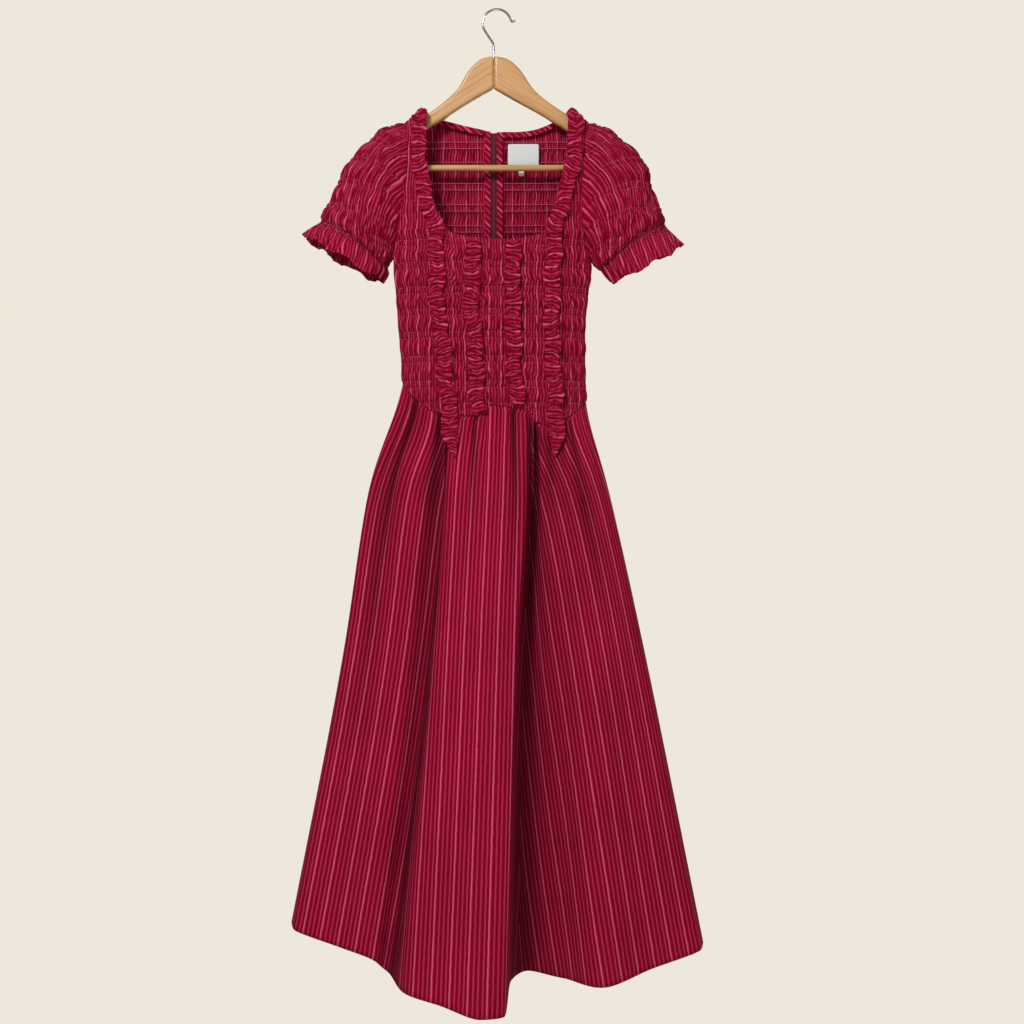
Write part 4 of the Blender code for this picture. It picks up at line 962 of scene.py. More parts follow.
class DRESS_OT_bodice_front(bpy.types.Operator):
    """Make the shirred front of the bodice with its two shoulder straps"""

    bl_idname = "dress.bodice_front"
    bl_label = "Bodice front"

    def execute(self, context):
        points, drop, kept = front_grid()
        fade = edge_fade(drop.shape)
        first, last = STRAP_COLUMNS, STRAP_COLUMNS + MIDDLE_COLUMNS
        to_neck = np.abs(np.arange(drop.shape[1])[None, :] - np.array((first, last))[:, None]).min(0)
        fade[:STRAP_ROWS] *= 0.55 * np.clip(to_neck / 5, 0, 1)
        below_neck = np.clip(np.arange(BODICE_ROWS + 1) / 4, 0, 1)[:, None]
        fade[STRAP_ROWS:, first : last + 1] *= below_neck
        made, _, lifted = shirred_panel(
            "bodice_front", points, drop, FRONT_ELASTICS, -1, 11, fade, (first, last), kept
        )
        lines = []
        for top, left, right in ((0, 0, first + 1), (0, last, None), (STRAP_ROWS, first, last + 1)):
            part = slice(top, None), slice(left, right)
            lines += surface_lines(lifted[part], drop[part], elastic_lines(FRONT_ELASTICS))
        lines.append(lifted[-3])
        thread = sewing_thread("spun_pink_thread", context.scene.dress_cloth.thread)
        rows = stitches("bodice_front_stitches", lines, thread, **ELASTIC_STITCH)
        return {"FINISHED"}


class DRESS_OT_bodice_back(bpy.types.Operator):
    """Make the two shirred halves of the bodice's back"""

    bl_idname = "dress.bodice_back"
    bl_label = "Bodice back"

    def execute(self, context):
        thread = sewing_thread("spun_pink_thread", context.scene.dress_cloth.thread)
        for side, word in SIDES:
            node = f"bodice_back_{word}"
            points, drop = back_grid(side)
            from_zip = np.abs(points[..., 0] - ZIP_X)
            fade = edge_fade(drop.shape) * np.clip((from_zip - ZIP_TAPE_HALF) / 6, 0, 1)
            made, raised, lifted = shirred_panel(
                node, points, drop, BACK_ELASTICS, 1, 23 + side, fade, (BACK_COLUMNS, BACK_COLUMNS)
            )
            lines = []
            free = from_zip.mean(0) > ZIP_TAPE_HALF + 1
            for spots in (lifted, lifted + (raised - lifted) * 4.0):
                lines += surface_lines(spots[:, free], drop[:, free], elastic_lines(BACK_ELASTICS))
            rows = stitches(f"{node}_stitches", lines, thread, **ELASTIC_STITCH)
        return {"FINISHED"}


# Sleeves


def armhole_points(side, angle):
    """The armhole seam, angle 0 at the shoulder tip, round by the front to the underarm."""
    half = (UNDERARM_DROP - SHOULDER_TIP_DROP) / 2
    drop = SHOULDER_TIP_DROP + half * (1 - np.cos(angle))
    depth = arm_edge_depth(drop) * arch(drop - SHOULDER_TIP_DROP)
    y = np.where(np.sin(angle) > 0, -depth, depth) * (np.abs(np.sin(angle)) > 1e-6)
    return np.stack((body_edge[side](drop) + side * ARMHOLE_GAP, y, -drop), -1)


def section_points(section, angle):
    """Points on an oval section of the sleeve; the front of a frill's edge is lifted."""
    outer_x, outer_drop, under_x, under_drop, depth, lift = section
    middle = np.array(((outer_x + under_x) / 2, 0, -(outer_drop + under_drop) / 2))
    reach = np.array(((outer_x - under_x) / 2, 0, (under_drop - outer_drop) / 2))
    lift_way = np.array((-outer_x, 0, abs(outer_x))) / (abs(outer_x) * math.sqrt(2))
    front = np.sin(angle)[:, None]
    return middle + reach * np.cos(angle)[:, None] + front * (np.array((0, -depth, 0)) + lift_way * lift)


def sleeve_grid(side, sections):
    """Points of a sleeve, their angle round it, and each row's place, 0 to 9, and run from the armhole."""
    angle = np.linspace(-math.pi, math.pi, SLEEVE_TURN + 1)
    rings = np.stack([armhole_points(side, angle)] + [section_points(s, angle) for s in sections])
    place = np.linspace(0, len(sections), SLEEVE_DOWN + 1)
    shape = (len(place), *rings.shape[1:])
    values = np.broadcast_to(rings[:, None], (len(rings), *shape))
    points = smooth(range(len(rings)), values, np.broadcast_to(place[:, None, None], shape))
    steps = np.linalg.norm(np.diff(rings, axis=0), axis=-1).mean(1)
    run = np.interp(place, range(len(rings)), np.concatenate(((0,), np.cumsum(steps))))
    return points, angle, place, run


def flat_sleeve(angle, run, width):
    """Where each point lies on the sleeve's flat cloth: across from its middle, and down from its top."""
    share = (run / run[-1])[:, None]
    turn = np.abs(angle)[None, :] / math.pi
    cap_across = np.sin(math.pi / 2 * turn) ** 0.5
    cap_down = CAP_HEIGHT * (1 - np.cos(math.pi * turn)) / 2
    across = np.sign(angle) * width / 2 * (cap_across * (1 - share) + turn * share)
    return across, cap_down + (SLEEVE_LENGTH - cap_down) * share


def frilled(points, normals, angle, place, side, sections):
    """A sleeve's points with its cuff's waves; how far each row is in the frill, and near its seam."""
    frill = np.clip((place - FRILL_SECTION) / (sections - FRILL_SECTION), 0, 1)[:, None]
    waves = np.sin(CUFF_WAVES * angle + 0.9 * np.sin(5 * angle))
    waves = waves * (0.75 + 0.35 * np.sin(3 * angle + side)) + 0.7 * np.sin(9 * angle + side)
    points = points + normals * (frill**0.8 * waves[None, :] * CUFF_RISE)[..., None]
    swing = np.roll(waves, 2)[None, :, None] * frill[..., None] * CUFF_SWING
    points = points + np.gradient(points, axis=1) * swing
    near = np.exp(-(((place - FRILL_SECTION) / 0.45) ** 2))[:, None]
    points = points + normals * (0.7 * np.sin(2.6 * CUFF_WAVES * angle + 1.3)[None, :] * near)[..., None]
    outwards = unit(points[-1] - points[-4])
    dip = 2.4 * np.sin(7 * angle + side) + 0.6 * np.sin(12 * angle + 2 * side)
    dip -= 3.5 * np.abs(np.cos(angle)) ** 6
    points = points + frill[..., None] ** 1.5 * (dip[:, None] * outwards)[None]
    points[:, -1] = points[:, 0]
    return points, frill, near


class DRESS_OT_sleeves(bpy.types.Operator):
    """Make the two short shirred sleeves with their frilled cuffs"""

    bl_idname = "dress.sleeves"
    bl_label = "Sleeves"

    def execute(self, context):
        cloth = context.scene.dress_cloth
        thread = sewing_thread("spun_pink_thread", cloth.thread)
        lines = elastic_lines(SLEEVE_ELASTICS, SLEEVE_ELASTIC_HALF)
        rises = 0.35 * cloth.puff_rise / MM, cloth.gather_rise / MM
        for (side, word), sections in zip(SIDES, (LEFT_SLEEVE, RIGHT_SLEEVE)):
            node = f"sleeve_{word}"
            points, angle, place, run = sleeve_grid(side, sections)
            outward = points - points[:, :-1].mean(1, keepdims=True)
            outward[..., 2] += 4.0
            normals = facings(points, outward)
            normals[:, -1] = normals[:, 0]
            across, along = flat_sleeve(angle, run, SLEEVE_STRIPES * cloth.stripe_pitch / MM)
            height, wander, crease = shirred(
                across, along, (-12, *lines, SLEEVE_LENGTH + 30), *rises, 41 + side
            )
            to_underarm = np.clip((math.pi - np.abs(angle)) / 0.7, 0, 1)[None, :]
            to_frill = np.clip((FRILL_SECTION - place) / 0.3, 0, 1)
            fade = (np.clip(place / 0.35, 0, 1) * to_frill)[:, None] * to_underarm
            points = points + normals * (height * fade)[..., None]
            points, frill, near = frilled(points, normals, angle, place, side, len(sections))
            wander = 2.2 * wander * np.cos(angle / 2)[None, :] ** 0.5 * (1 - frill)
            pattern = np.stack((across + wander, along), -1)
            # painted shade: in the creases of the puffs, and a dark band along the frill's seam
            crease = crease * fade + 0.5 * near
            made = cloth_piece(node, points, pattern, outward, same=((-1, 0),), crease=crease)
            lifted = points + normals * SEAM_CLEAR
            cuff = int(FRILL_SECTION / len(sections) * SLEEVE_DOWN)
            seams = surface_lines(lifted, along, lines)
            seams += [lifted[row] for row in (cuff - 2, cuff + 2, SLEEVE_DOWN - 2)]
            rows = stitches(f"{node}_stitches", seams, thread, **ELASTIC_STITCH)
        return {"FINISHED"}


# Skirt


def tucked(x, drop, side):
    """x and y of the skirt's top edge, which lies under the bodice's lower edge."""
    left, right = body_edge[-1](drop), body_edge[1](drop)
    x = np.clip(x, left, right)
    share = (x - (left + right) / 2) / ((right - left) / 2)
    before, y, after = (body_point(x + step, drop, side)[..., 1] for step in (-0.1, 0, 0.1))
    slope = (after - before) / 0.2
    size = np.sqrt(slope * slope + 1)
    corner = np.abs(share) > 0.999
    corner_x = x - np.sign(share) * (WAIST_TUCK + WAIST_CORNER)
    inner_x = np.where(corner, corner_x, x + side * slope / size * WAIST_TUCK)
    return inner_x, np.where(corner, 0.0, y - side / size * WAIST_TUCK)


def zip_half(drop):
    """Half the opening at the centre back: wide beside the zip, closed at the seam below it."""
    closing = np.clip((drop - ZIP_END_DROP) / (2 * ZIP_TAPE_HALF) + 1, 0, 1)
    return ZIP_OPEN_HALF * (1 - closing) - SEAM_LAP * closing


def skirt_points(folds, side, fold, height, centre_side=0):
    """Points of a skirt panel, fold along its table's rows and height 0 at the waist to 1 at the hem."""
    table = np.array(folds, float)
    fold, height = np.broadcast_arrays(fold, height)
    waist_x, hip_x, hip_y, mid_x, mid_y, hem_x, hem_y, hem_drop = (
        smooth(range(len(table)), column, fold) for column in table.T
    )
    seam = waist_seam[side](waist_x) - WAIST_LAP
    waist_x, waist_y = tucked(waist_x, seam, side)
    lapped = seam + SEAM_PART * (hem_drop - seam)

    def down(*values):
        stacked = np.stack([np.broadcast_to(v, height.shape).ravel() for v in values])
        return smooth(SKIRT_SECTIONS, stacked, height)

    drop = down(seam, lapped, HIP_DROP, MID_DROP, hem_drop)
    x = down(waist_x, waist_x, hip_x, mid_x, hem_x)
    y = down(waist_y, waist_y, hip_y, mid_y, hem_y)
    if height.ndim > 1:
        for line in (x, y, drop):
            for _ in range(HIP_EASING):
                line[3:-1] = (line[2:-2] + 2 * line[3:-1] + line[4:]) / 4
    if centre_side:
        x = x + centre_side * zip_half(drop) * np.clip(1 - np.abs(fold - CENTRE_FOLD), 0, 1)
    y = side * (np.maximum(side * y, 0.0) - SEAM_LAP)
    return np.stack((x, y, -drop), -1)


def stripe_places(points, shaped, fold, parts):
    """Where each point lies on the cloth, so that each part's stripes run along its anchor's fold.

    parts has each part's first and last column, and the fold that its stripes are parallel to.
    """
    runs, gathered = run_lengths(points, 1), run_lengths(shaped, 1)
    extra = gathered - runs * (gathered[:, -1:] / runs[:, -1:])
    across = np.zeros_like(runs)
    for first, last, anchor in parts:
        inside = slice(first, last + 1)
        width = runs[:, last] - runs[:, first]
        fan = (width[-1] / width) ** STRIPE_FAN
        start = runs[:, int(np.argmin(np.abs(fold - anchor)))]
        across[:, inside] = (runs[:, inside] - start[:, None]) * fan[:, None] + extra[:, inside]
    return np.stack((across, run_lengths(points, 0)), -1)


def soft_gathers(points, height, side, fade, seed):
    """The skirt's points with gathers under the waist and soft pleats below them, and the painted shade of
    their creases.
    """
    phases = np.random.default_rng(seed).uniform(0, TURN, 2 * len(SKIRT_WAVES))
    run = np.broadcast_to(run_lengths(points[2:3], 1), points.shape[:2])
    total = 0.0
    for k, (pitch, size, end) in enumerate(SKIRT_WAVES):
        lean = 1.1 * np.sin(run / 37.0 + phases[k + 5]) + 0.8 * height * math.sin(3.0 * k)
        strength = 0.6 + 0.4 * np.sin(run / (9.0 + 7 * k) + phases[9 - k])
        wave = size * strength * np.sin(TURN * run / pitch + phases[k] + lean)
        total = total + wave * np.clip(1 - height / end, 0, 1)
    ramp = np.clip((height - 0.6 * SEAM_PART) / 0.006, 0, 1)
    room = np.clip(np.abs(points[..., 1]) / 16, 0, 1)
    proud = 2.0 * np.clip(1 - height / 0.1, 0, 1)
    # painted shade in the hollows of the gathers, deepest where a gather falls furthest back
    crease = np.clip(-0.4 - total, 0, 5) / 5 * ramp * fade * room
    out = facings(points, (0.0, side, 0.0))
    return points + out * ((total + proud) * ramp * fade * room)[..., None] * 0.9, crease


class DRESS_OT_skirt(bpy.types.Operator):
    """Make the gathered skirt: its front, and its back in two panels"""

    bl_idname = "dress.skirt"
    bl_label = "Skirt"

    def execute(self, context):
        thread = sewing_thread("spun_crimson_thread", context.scene.dress_cloth.ground)
        height = np.linspace(0, 1, SKIRT_ROWS + 1)[:, None] ** 1.45
        height = np.concatenate((((0.0,), (SEAM_PART,)), height[height[:, 0] > SEAM_PART * 1.5]))
        for count, panel in enumerate(SKIRT_PANELS):
            node, folds, side, centre, columns, painted_shadows, breaks, anchors = panel
            spans = np.abs(np.diff(breaks))
            counts = np.round(columns * spans / spans.sum()).astype(int)
            fold = np.concatenate([np.linspace(a, b, n + 1) for a, b, n in zip(breaks, breaks[1:], counts)])
            starts = np.concatenate(((0,), np.cumsum(counts + 1)))
            parts = zip(starts[:-1], starts[1:] - 1, anchors)
            points = skirt_points(folds, side, fold[None, :], height, centre)
            fade = edge_fade(points.shape[:2], 8, 1)
            fade[-1], fade[0] = fade[-2], 0.0
            if centre:
                fade = fade * np.clip((np.abs(points[..., 0] - ZIP_X) - ZIP_TAPE_HALF) / 22, 0, 1)
            shaped, crease = soft_gathers(points, height, side, fade, 61 + count)
            # painted shadows: the listed hollows of the front are darkened in painted shade, from just under
            # the waist down to their end
            for middle, reach, depth, end in painted_shadows:
                dark = depth * np.exp(-(((fold[None, :] - middle) / reach) ** 2))
                dark = dark * np.clip(height / 0.03, 0, 1)
                crease = crease + dark * np.clip(2 - 2 * height / end, 0, 1)
            doubled = starts[1:-1]
            kept = np.ones((points.shape[0] - 1, points.shape[1] - 1), bool)
            kept[:, doubled - 1] = False
            made = cloth_piece(
                node, shaped, stripe_places(points, shaped, fold, parts), (0, side, 0), kept=kept,
                same=[(k, k - 1) for k in doubled], crease=np.clip(crease, 0, 1.25),
            )
            hem = int(np.argmin(np.abs(height[:, 0] - HEM_STITCH_HEIGHT)))
            line = (shaped + facings(shaped, (0.0, side, 0.0)) * 0.1)[hem]
            seam = stitches(f"{node}_hem_stitches", [line], thread, width=0.5)
            widths = run_lengths(points, 1)[:, -1]
            flat = (float(widths[-1]) * MM, float(run_lengths(points, 0)[-1].mean()) * MM)
        return {"FINISHED"}


# Ruffles


def cloth_in_front(names):
    """A function that gives the foremost y of the cloth round a point, in mm."""
    trees = []
    for name in names:
        body = bmesh.new()
        body.from_mesh(bpy.data.objects[name].data)
        trees.append(BVHTree.FromBMesh(body))
        body.free()

    def foremost(x, drop):
        starts = [Vector((x + dx, -400, -drop)) * MM for dx in (-4, 0, 4)]
        hits = [tree.ray_cast(start, Vector((0, 1, 0)))[0] for tree in trees for start in starts]
        return min(hit.y / MM for hit in hits if hit is not None)

    return foremost


def ruffle_grid(route, foremost, outer):
    """A flat strip's points, and the ways out of, across and along it; an outer one has a tail."""
    drops, xs = np.array(route, float).T
    length = drops[-1] - drops[0]
    drop = np.linspace(drops[0], drops[-1], int(length / RUFFLE_STEP) + 1)
    run = drop - drops[0]
    x = smooth(drops, xs, drop) + 1.5 * np.sin(drop / 9.7 + xs[0]) * np.clip(run / 30, 0, 1)
    spots = np.linspace(drops[0] + OVER_SHOULDER * outer, drops[-1], max(int(length / 9), 8))
    base = np.array([foremost(float(smooth(drops, xs, d)), float(d)) for d in spots])
    base = (base + np.minimum(base, np.minimum(np.roll(base, 1), np.roll(base, -1)))) / 2
    base[0], base[-1] = base[1], base[-2]
    y = smooth(spots, base, drop)
    lean = np.zeros_like(drop)
    if outer:
        share = np.clip(run / OVER_SHOULDER, 0, 1)
        y = body_point(x, drop, -1)[:, 1] * (1 - share) + y * share
        lean = smooth((0, 12, 40), (1.25, 0.6, 0.0), run)
    out = np.stack((0 * lean, -np.cos(lean), np.sin(lean)), -1)
    along = unit(np.stack((np.gradient(x, drop), 0 * x, -np.ones_like(x)), -1))
    over = np.cross(np.array((0, 1, 0)), along)
    if outer:
        fall = SHOULDER_SLOPE * np.clip(1 - run / SHOULDER_ARCH, 0, 1)
        over[:, 2] -= np.sign(x) * fall * over[:, 0]
        over = unit(over)
    middle = np.stack((x, y, -drop), -1) + out * (SEAM_GAP + 1.0)
    round_top = 5.0 * outer * np.exp(-((run / 8) ** 2))[:, None, None] * out[:, None]
    # between the rows of elastic a ruffle is freer, wider and higher
    free = np.clip(np.abs(drop[:, None] - np.array(FRONT_ELASTICS)).min(1) / 13, 0, 1) ** 0.7
    width = RUFFLE_HALF * (0.78 + 0.3 * free)
    out *= (0.5 + 0.5 * free)[:, None]
    if outer:
        top = np.clip(run / 9, 0, 1)
        width *= np.sqrt(1 - (1 - top) ** 2) * 0.9 + 0.1
        out *= (0.25 + 0.75 * top)[:, None]
        width *= np.minimum(1.0, (drops[-1] - drop) / TAIL_LENGTH + 0.12)
    side = np.linspace(-1, 1, RUFFLE_COLUMNS + 1)
    points = middle[:, None] + over[:, None] * (side[None, :, None] * width[:, None, None])
    if outer:
        ceiling = 2.0 - np.maximum(shoulder_drop(points[..., 0]), NECK_POINT_DROP)
        points[..., 2] = np.minimum(points[..., 2], ceiling)
        points[..., 2] -= 6.5 * np.exp(-((run / 9) ** 2))[:, None] * side[None, :] ** 4
    points = points + round_top * (1 - side**2)[None, :, None]
    return points, side, run, width, out, over, along


class DRESS_OT_ruffles(bpy.types.Operator):
    """Make the four gathered strips that are sewn down their middle"""

    bl_idname = "dress.ruffles"
    bl_label = "Ruffles"

    def execute(self, context):
        sizes, tree = context.scene.dress_ruffle, ruffle_tree()
        thread = sewing_thread("spun_pink_thread", context.scene.dress_cloth.thread)
        foremost = cloth_in_front(["bodice_front_cloth", "skirt_front_cloth"])
        for count, (node, route) in enumerate(RUFFLES.items()):
            outer = node.startswith("outer")
            points, side, run, width, out, over, along = ruffle_grid(route, foremost, outer)
            turn = run[:, None] + 40 * count
            slant = 3.6 * np.sin(turn / 14) * side + 4.2 * np.sin(turn / 11 + 1) * np.abs(side)
            pattern = np.broadcast_arrays(run[:, None] * 1.35 + slant, side[None, :] * RUFFLE_HALF)
            # painted shade down the middle of the strip, along its seam under the raised edges
            mesh = grid_mesh(
                f"{node}_cloth", points, np.stack(pattern, -1), (0, -1, 0),
                crease=0.6 * np.clip(1 - np.abs(side) / 0.35, 0, 1)[None, :],
                side=side[None, :] * (width / RUFFLE_HALF)[:, None], run=run[:, None] * MM,
                out=out[:, None], over=over[:, None], along=along[:, None],
            )
            made = linked(f"{node}_cloth", mesh)
            run_tree(
                made, tree, Wave=sizes.wave, Lift=sizes.lift, Sway=sizes.sway,
                Seed=float(sizes.seed + 3 * count), Cloth=striped_cotton("yarn_dyed_cotton_poplin"),
            )
            dress_piece(walled(made, RUFFLE_WALL), "striped_cotton", node)
            middle = (points[:, RUFFLE_COLUMNS // 2] + out * 0.5)[4:-4:2]
            middle += over[4:-4:2] * (1.1 * (-1.0) ** np.arange(len(middle)))[:, None]
            seam = stitches(f"{node}_stitches", [middle], thread, length=1.9, width=0.5)
        return {"FINISHED"}


# Zip, bindings and labels


def zip_line():
    """y of the back's outer face along the zip, bodice and skirt, as a function of the drop."""
    drops = ZIP_TOP_DROP - 6 + 20.0 * np.arange(18)
    bodice = body_point(np.full(18, ZIP_X), drops, 1)
    skirt = skirt_points(BACK_FOLDS, 1, np.full(12, float(CENTRE_FOLD)), 0.02 + 0.05 * np.arange(12))
    line = np.concatenate((bodice, skirt))
    return lambda places: smooth(-line[:, 2], line[:, 1], places)


def zip_strip(node, ends, inset, line, material, slot_name, crown):
    """A strip of tape along the zip, its outer face set in from the back's by inset."""
    drop = np.linspace(ZIP_TOP_DROP, ZIP_END_DROP, 132)[:, None]
    part = np.linspace(0, 1, 9)[None, :]
    x = ZIP_X + ends[0] + (ends[1] - ends[0]) * part
    inner = inset + TRIM_CLOTH - crown * (1 - (2 * part - 1) ** 2) + 0 * drop
    points = np.stack(np.broadcast_arrays(x, line(drop) - inner, -drop), -1)
    return cloth_piece(node, points, points[..., ::2], (0, -1, 0), material, slot_name, TAPE_WALL)


class DRESS_OT_zip(bpy.types.Operator):
    """Make the zip's tape, teeth and inner bindings, and finish its slider and pull"""

    bl_idname = "dress.zip"
    bl_label = "Zip"

    def execute(self, context):
        trim, line = context.scene.dress_trim, zip_line()
        tape = woven_tape("zip_twill_tape", trim.tape, 190.0)
        ends = (-ZIP_TAPE_HALF, ZIP_TAPE_HALF)
        band = zip_strip("zip_tape", ends, TAPE_INSET, line, tape, "zip_tape_plum", 0.0)
        drops = np.linspace(ZIP_TOP_DROP + 1, ZIP_END_DROP - 1, 260)
        lines = [
            [(ZIP_X + x, float(line(d)) - face, -d) for d in drops]
            for face in (TAPE_INSET - SEAM_GAP - 0.1, TAPE_INSET + TRIM_CLOTH + 0.35)
            for x in (-TOOTH_X, TOOTH_X)
        ]
        nylon = sewing_thread("nylon_zip_coil", trim.coil)
        teeth = stitches("zip_coil_teeth", lines, nylon, "zip_tape_plum", 1.5, 1.25, 1.5)
        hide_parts("zip_coil")
        for side, word in SIDES:
            made = zip_strip(
                f"zip_binding_{word}", sorted((side * 4.2, side * 12.4)), TAPE_INSET + TRIM_CLOTH + SEAM_GAP,
                line, striped_cotton("bias_cut_cotton_poplin", BIAS), "striped_cotton", 0.6,
            )
        metal = plated_metal("dull_nickel_plate", trim.metal, 0.32, 0.5)
        for node in ("zip_slider", "zip_pull"):
            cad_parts[node].data.materials.clear()
            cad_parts[node].data.materials.append(metal)
        return {"FINISHED"}


def inside_patch(node, x_ends, drops_at, size, material, slot_name, wall):
    """A patch on the inner face of the back; drops_at gives its top and bottom at an x."""
    part, down = (np.linspace(0, 1, count + 1) for count in size)
    x = x_ends[0] + (x_ends[1] - x_ends[0]) * part[None, :]
    top, bottom = drops_at(x)
    drop = top + (bottom - top) * down[:, None]
    x = np.broadcast_to(x, drop.shape)
    spot = body_point(x, drop, 1)
    way = np.cross(body_point(x + 1, drop, 1) - spot, body_point(x, drop + 1, 1) - spot)
    way *= np.where(way[..., 1:2] < 0, -1, 1)
    points = spot - unit(way) * (CLOTH + 2 * SEAM_GAP + wall)
    return cloth_piece(node, points, np.stack((x, -drop), -1), (0, -1, 0), material, slot_name, wall)


def rounded_ends(box, x, radius=2.6):
    """Top and bottom of a patch at an x, with its corners rounded; box is left, right, top, bottom."""
    left, right, top, bottom = box
    near = np.clip(np.minimum(x - left, right - x) / radius, 0, 1)
    inset = radius * (1 - np.sqrt(1 - (1 - near) ** 2))
    return top + inset, bottom - inset


class DRESS_OT_neck_trim(bpy.types.Operator):
    """Make the bias binding of the back neck, and the bare label with its tab"""

    bl_idname = "dress.neck_trim"
    bl_label = "Neck binding and label"

    def execute(self, context):
        for side, word in SIDES:
            ends = (side * 80.0, ZIP_X + side * (ZIP_TAPE_HALF + 1.0))
            made = inside_patch(
                f"neck_binding_{word}", ends, lambda x: (back_top(x) + 0.4, back_top(x) + 8.0), (60, 8),
                striped_cotton("bias_cut_cotton_poplin", BIAS), "striped_cotton", TRIM_CLOTH,
            )
        satin = woven_tape("white_woven_satin", context.scene.dress_trim.label, 420.0)
        tab, label = (
            inside_patch(
                name, box[:2], partial(rounded_ends, box), (44, 16), satin, "label_white", LABEL_WALL
            )
            for name, box in LABELS.items()
        )
        return {"FINISHED"}


# Hanger


def rounded_outline(points, passes=3):
    """A closed outline with its corners cut, except where it meets the other half."""
    for _ in range(passes):
        made = []
        for (x0, z0), (x1, z1) in zip(points, points[1:]):
            keep = x0 == HANGER_X
            made.append((x0, z0) if keep else (0.75 * x0 + 0.25 * x1, 0.75 * z0 + 0.25 * z1))
            if x1 != HANGER_X:
                made.append((0.25 * x0 + 0.75 * x1, 0.25 * z0 + 0.75 * z1))
        made.append(points[-1])
        points = made
    return points


def wooden_piece(node, mesh, turn, sharp):
    """A piece of the hanger in its own beech, turn degrees from level, with its sharp edges kept."""
    word = node.split("_")[-1]
    made = dress_piece(linked(f"hanger_{word}_wood", mesh), "beech_wood", node)
    mesh.materials.append(varnished_beech(f"satin_varnished_beech_{word}", math.radians(turn)))
    mesh.shade_smooth()
    mesh.set_sharp_from_angle(angle=math.radians(sharp))
    return made


class DRESS_OT_hanger(bpy.types.Operator):
    """Make the two wooden halves of the hanger and its round bar"""

    bl_idname = "dress.hanger"
    bl_label = "Wooden hanger"

    def execute(self, context):
        for (side, word), outline in zip(SIDES, (LEFT_ARM, RIGHT_ARM)):
            body = bmesh.new()
            rim = []
            for x, drop in rounded_outline(outline):
                x += side * ARM_SPLIT * (x == HANGER_X)
                rim.append(body.verts.new((x * MM, -ARM_HALF * MM, -drop * MM)))
            pushed = bmesh.ops.extrude_face_region(body, geom=[body.faces.new(rim)])["geom"]
            corners = [v for v in pushed if isinstance(v, bmesh.types.BMVert)]
            bmesh.ops.translate(body, vec=(0, 2 * ARM_HALF * MM, 0), verts=corners)
            mesh = bpy.data.meshes.new(f"hanger_{word}_wood")
            body.to_mesh(mesh)
            body.free()
            made = wooden_piece(f"hanger_arm_{word}", turned_out(mesh), -side * ARM_LEAN, 50)
            modified(
                made, "rounded edge", "BEVEL", width=EDGE_ROUNDING * MM, segments=5,
                limit_method="ANGLE", angle_limit=math.radians(60),
            )
        turn = np.linspace(0, TURN, 41)[None, :]
        (left, right), (length, less) = BAR_ENDS, BAR_CHAMFER
        along = np.array((left, left + length, *np.linspace(-160, 160, 17), right - length, right))[:, None]
        radius = np.full_like(along, BAR_RADIUS)
        radius[[0, -1]] -= less
        axis = np.stack(np.broadcast_arrays(along, 0 * turn, -BAR_DROP + 0 * turn), -1)
        points = np.stack(
            np.broadcast_arrays(along, radius * np.cos(turn), -BAR_DROP + radius * np.sin(turn)), -1
        )
        mesh = grid_mesh("hanger_bar_wood", points, points[..., :2], points - axis, same=((-1, 0),))
        closed = turned_out(mesh, lambda body: bmesh.ops.holes_fill(body, edges=body.edges))
        wooden_piece("hanger_bar", closed, 0.0, 60)
        return {"FINISHED"}


class DRESS_OT_hook(bpy.types.Operator):
    """Make the plated wire hook"""

    bl_idname = "dress.hook"
    bl_label = "Hook"

    def execute(self, context):
        centre = WIRE_RADIUS - HOOK_RADIUS
        angles = [math.radians(degrees) for degrees in range(12, 213, 5)]
        points = [*HOOK_TIP]
        points += [(HOOK_RADIUS * math.cos(a), centre + HOOK_RADIUS * math.sin(a)) for a in angles]
        points += [(x, -drop) for x, drop in HOOK_NECK]
        data = bpy.data.curves.new("hook_wire", "CURVE")
        data.dimensions = "3D"
        data.bevel_depth = WIRE_RADIUS * MM
        data.bevel_resolution = 6
        data.use_fill_caps = True
        wire = data.splines.new("NURBS")
        wire.points.add(len(points) - 1)
        for spot, (x, z) in zip(wire.points, points):
            spot.co = (x * MM, 0.0, z * MM, 1.0)
        wire.use_endpoint_u = True
        wire.order_u = 3
        wire.resolution_u = 4
        shape = linked("hook_wire", data)
        mesh = turned_out(
            shaped_mesh(shape), lambda body: bmesh.ops.remove_doubles(body, verts=body.verts, dist=0.00001)
        )
        bpy.data.objects.remove(shape)
        mesh.shade_smooth()
        mesh.materials.clear()
        chrome = context.scene.dress_hanger.chrome
        mesh.materials.append(plated_metal("bright_chromed_wire", chrome, 0.08, 0.15))
        dress_piece(linked("hook_wire", mesh), "chromed_wire", "hanger_hook")
        return {"FINISHED"}


# Stage


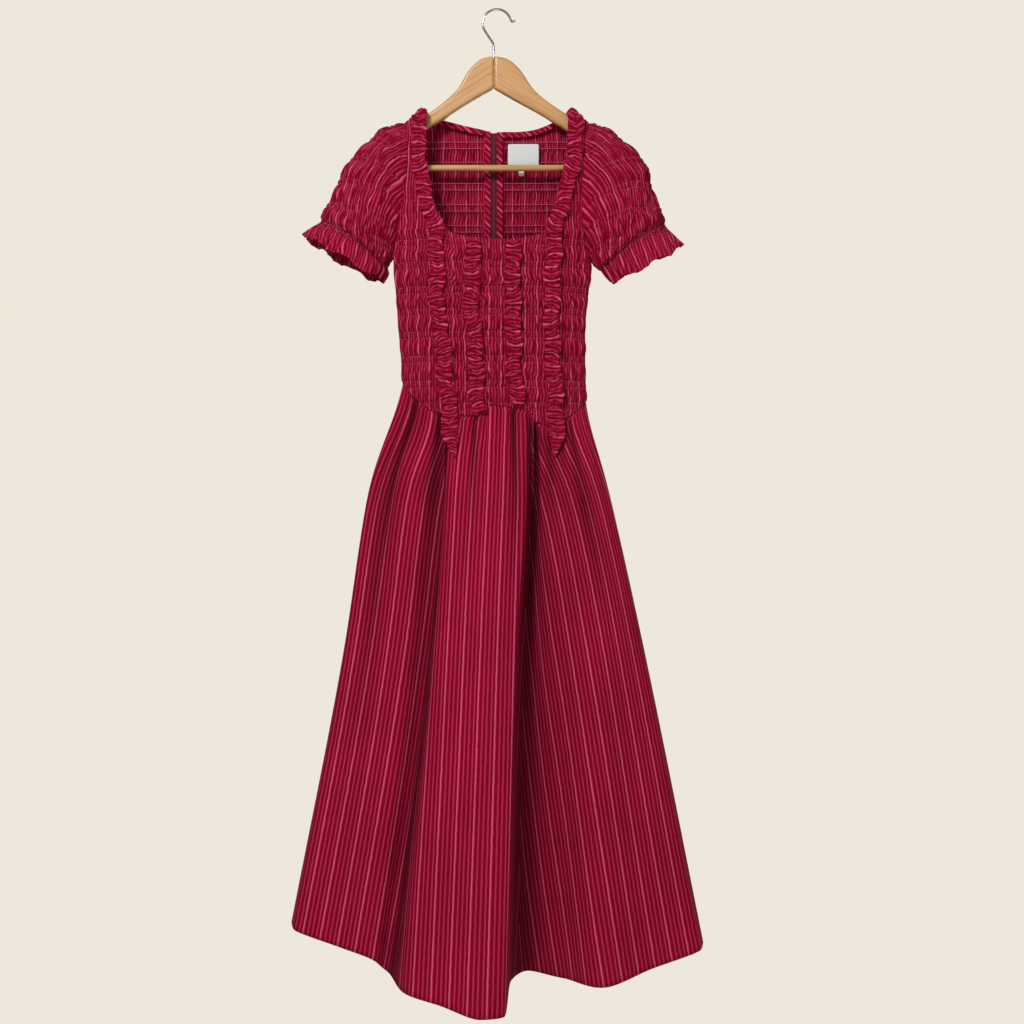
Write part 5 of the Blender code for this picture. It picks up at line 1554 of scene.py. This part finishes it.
class DRESS_OT_stage(bpy.types.Operator):
    """Make the floor, the backdrop's colour, the lights and the camera"""

    bl_idname = "dress.stage"
    bl_label = "Floor, lights and camera"

    def execute(self, context):
        scene, stage = context.scene, context.scene.dress_stage
        body = bmesh.new()
        bmesh.ops.create_circle(body, cap_ends=True, radius=0.58, segments=96)
        bmesh.ops.translate(body, vec=(0, 0, -1.62), verts=body.verts)
        mesh = bpy.data.meshes.new("floor")
        body.to_mesh(mesh)
        body.free()
        material = bpy.data.materials.new("painted_floor")
        node = emptied(material)
        paint = node("BsdfPrincipled", {"Base Color": rgba(stage.floor), "Roughness": 0.8})
        node("OutputMaterial", [paint])
        mesh.materials.append(material)
        linked("floor", mesh)
        scene.world = bpy.data.worlds.new("pale studio")
        node = emptied(scene.world)
        seen = node("Background", {"Color": rgba(stage.backdrop), "Strength": 1.0})
        around = node("Background", {"Color": (1, 0.98, 0.96, 1), "Strength": stage.fill})
        by_camera = node("LightPath", out="Is Camera Ray")
        node("OutputWorld", [node("MixShader", (by_camera, around, seen))])
        for name, place, size, share in LIGHTS:
            data = bpy.data.lights.new(name, "AREA")
            data.size, data.energy = size, stage.key * share
            lamp = linked(name, data)
            lamp.location = place
            lamp.rotation_euler = (LIT - Vector(place)).to_track_quat("-Z", "Y").to_euler()
        data = bpy.data.cameras.new("camera")
        data.sensor_width = 36.0
        data.lens = 36.0 * CAMERA_DISTANCE / (PHOTO_WIDTH * PHOTO_SCALE)
        scene.camera = linked("camera", data)
        scene.camera.location = (0.0207, -CAMERA_DISTANCE * MM, -0.69207)
        scene.camera.rotation_euler = (math.radians(90), 0, 0)
        scene.view_settings.view_transform = "Standard"
        return {"FINISHED"}


class DRESS_PT_panel(bpy.types.Panel):
    """Lists the dress's pieces and settings"""

    bl_label = "Ruffle midi dress"
    bl_space_type = "VIEW_3D"
    bl_region_type = "UI"
    bl_category = "Dress"

    def draw(self, context):
        for name, group in SETTINGS.items():
            box = self.layout.box()
            for title in group.__annotations__:
                box.prop(getattr(context.scene, name), title)
        for operator in OPERATORS:
            self.layout.operator(operator.bl_idname)


SETTINGS = {
    "dress_cloth": DressClothSettings,
    "dress_ruffle": DressRuffleSettings,
    "dress_trim": DressTrimSettings,
    "dress_hanger": DressHangerSettings,
    "dress_stage": DressStageSettings,
}
OPERATORS = (
    DRESS_OT_bodice_front, DRESS_OT_bodice_back, DRESS_OT_sleeves, DRESS_OT_skirt, DRESS_OT_ruffles,
    DRESS_OT_zip, DRESS_OT_neck_trim, DRESS_OT_hanger, DRESS_OT_hook, DRESS_OT_stage,
)

def register():
    for name, group in SETTINGS.items():
        bpy.utils.register_class(group)
        setattr(bpy.types.Scene, name, PointerProperty(type=group))
    for made in (*OPERATORS, DRESS_PT_panel):
        bpy.utils.register_class(made)


def unregister():
    for made in (DRESS_PT_panel, *reversed(OPERATORS)):
        bpy.utils.unregister_class(made)
    for name, group in reversed(SETTINGS.items()):
        delattr(bpy.types.Scene, name)
        bpy.utils.unregister_class(group)


def main():
    register()
    for operator in OPERATORS:
        group, name = operator.bl_idname.split(".")
        getattr(getattr(bpy.ops, group), name)()


if __name__ == "__main__":
    main()
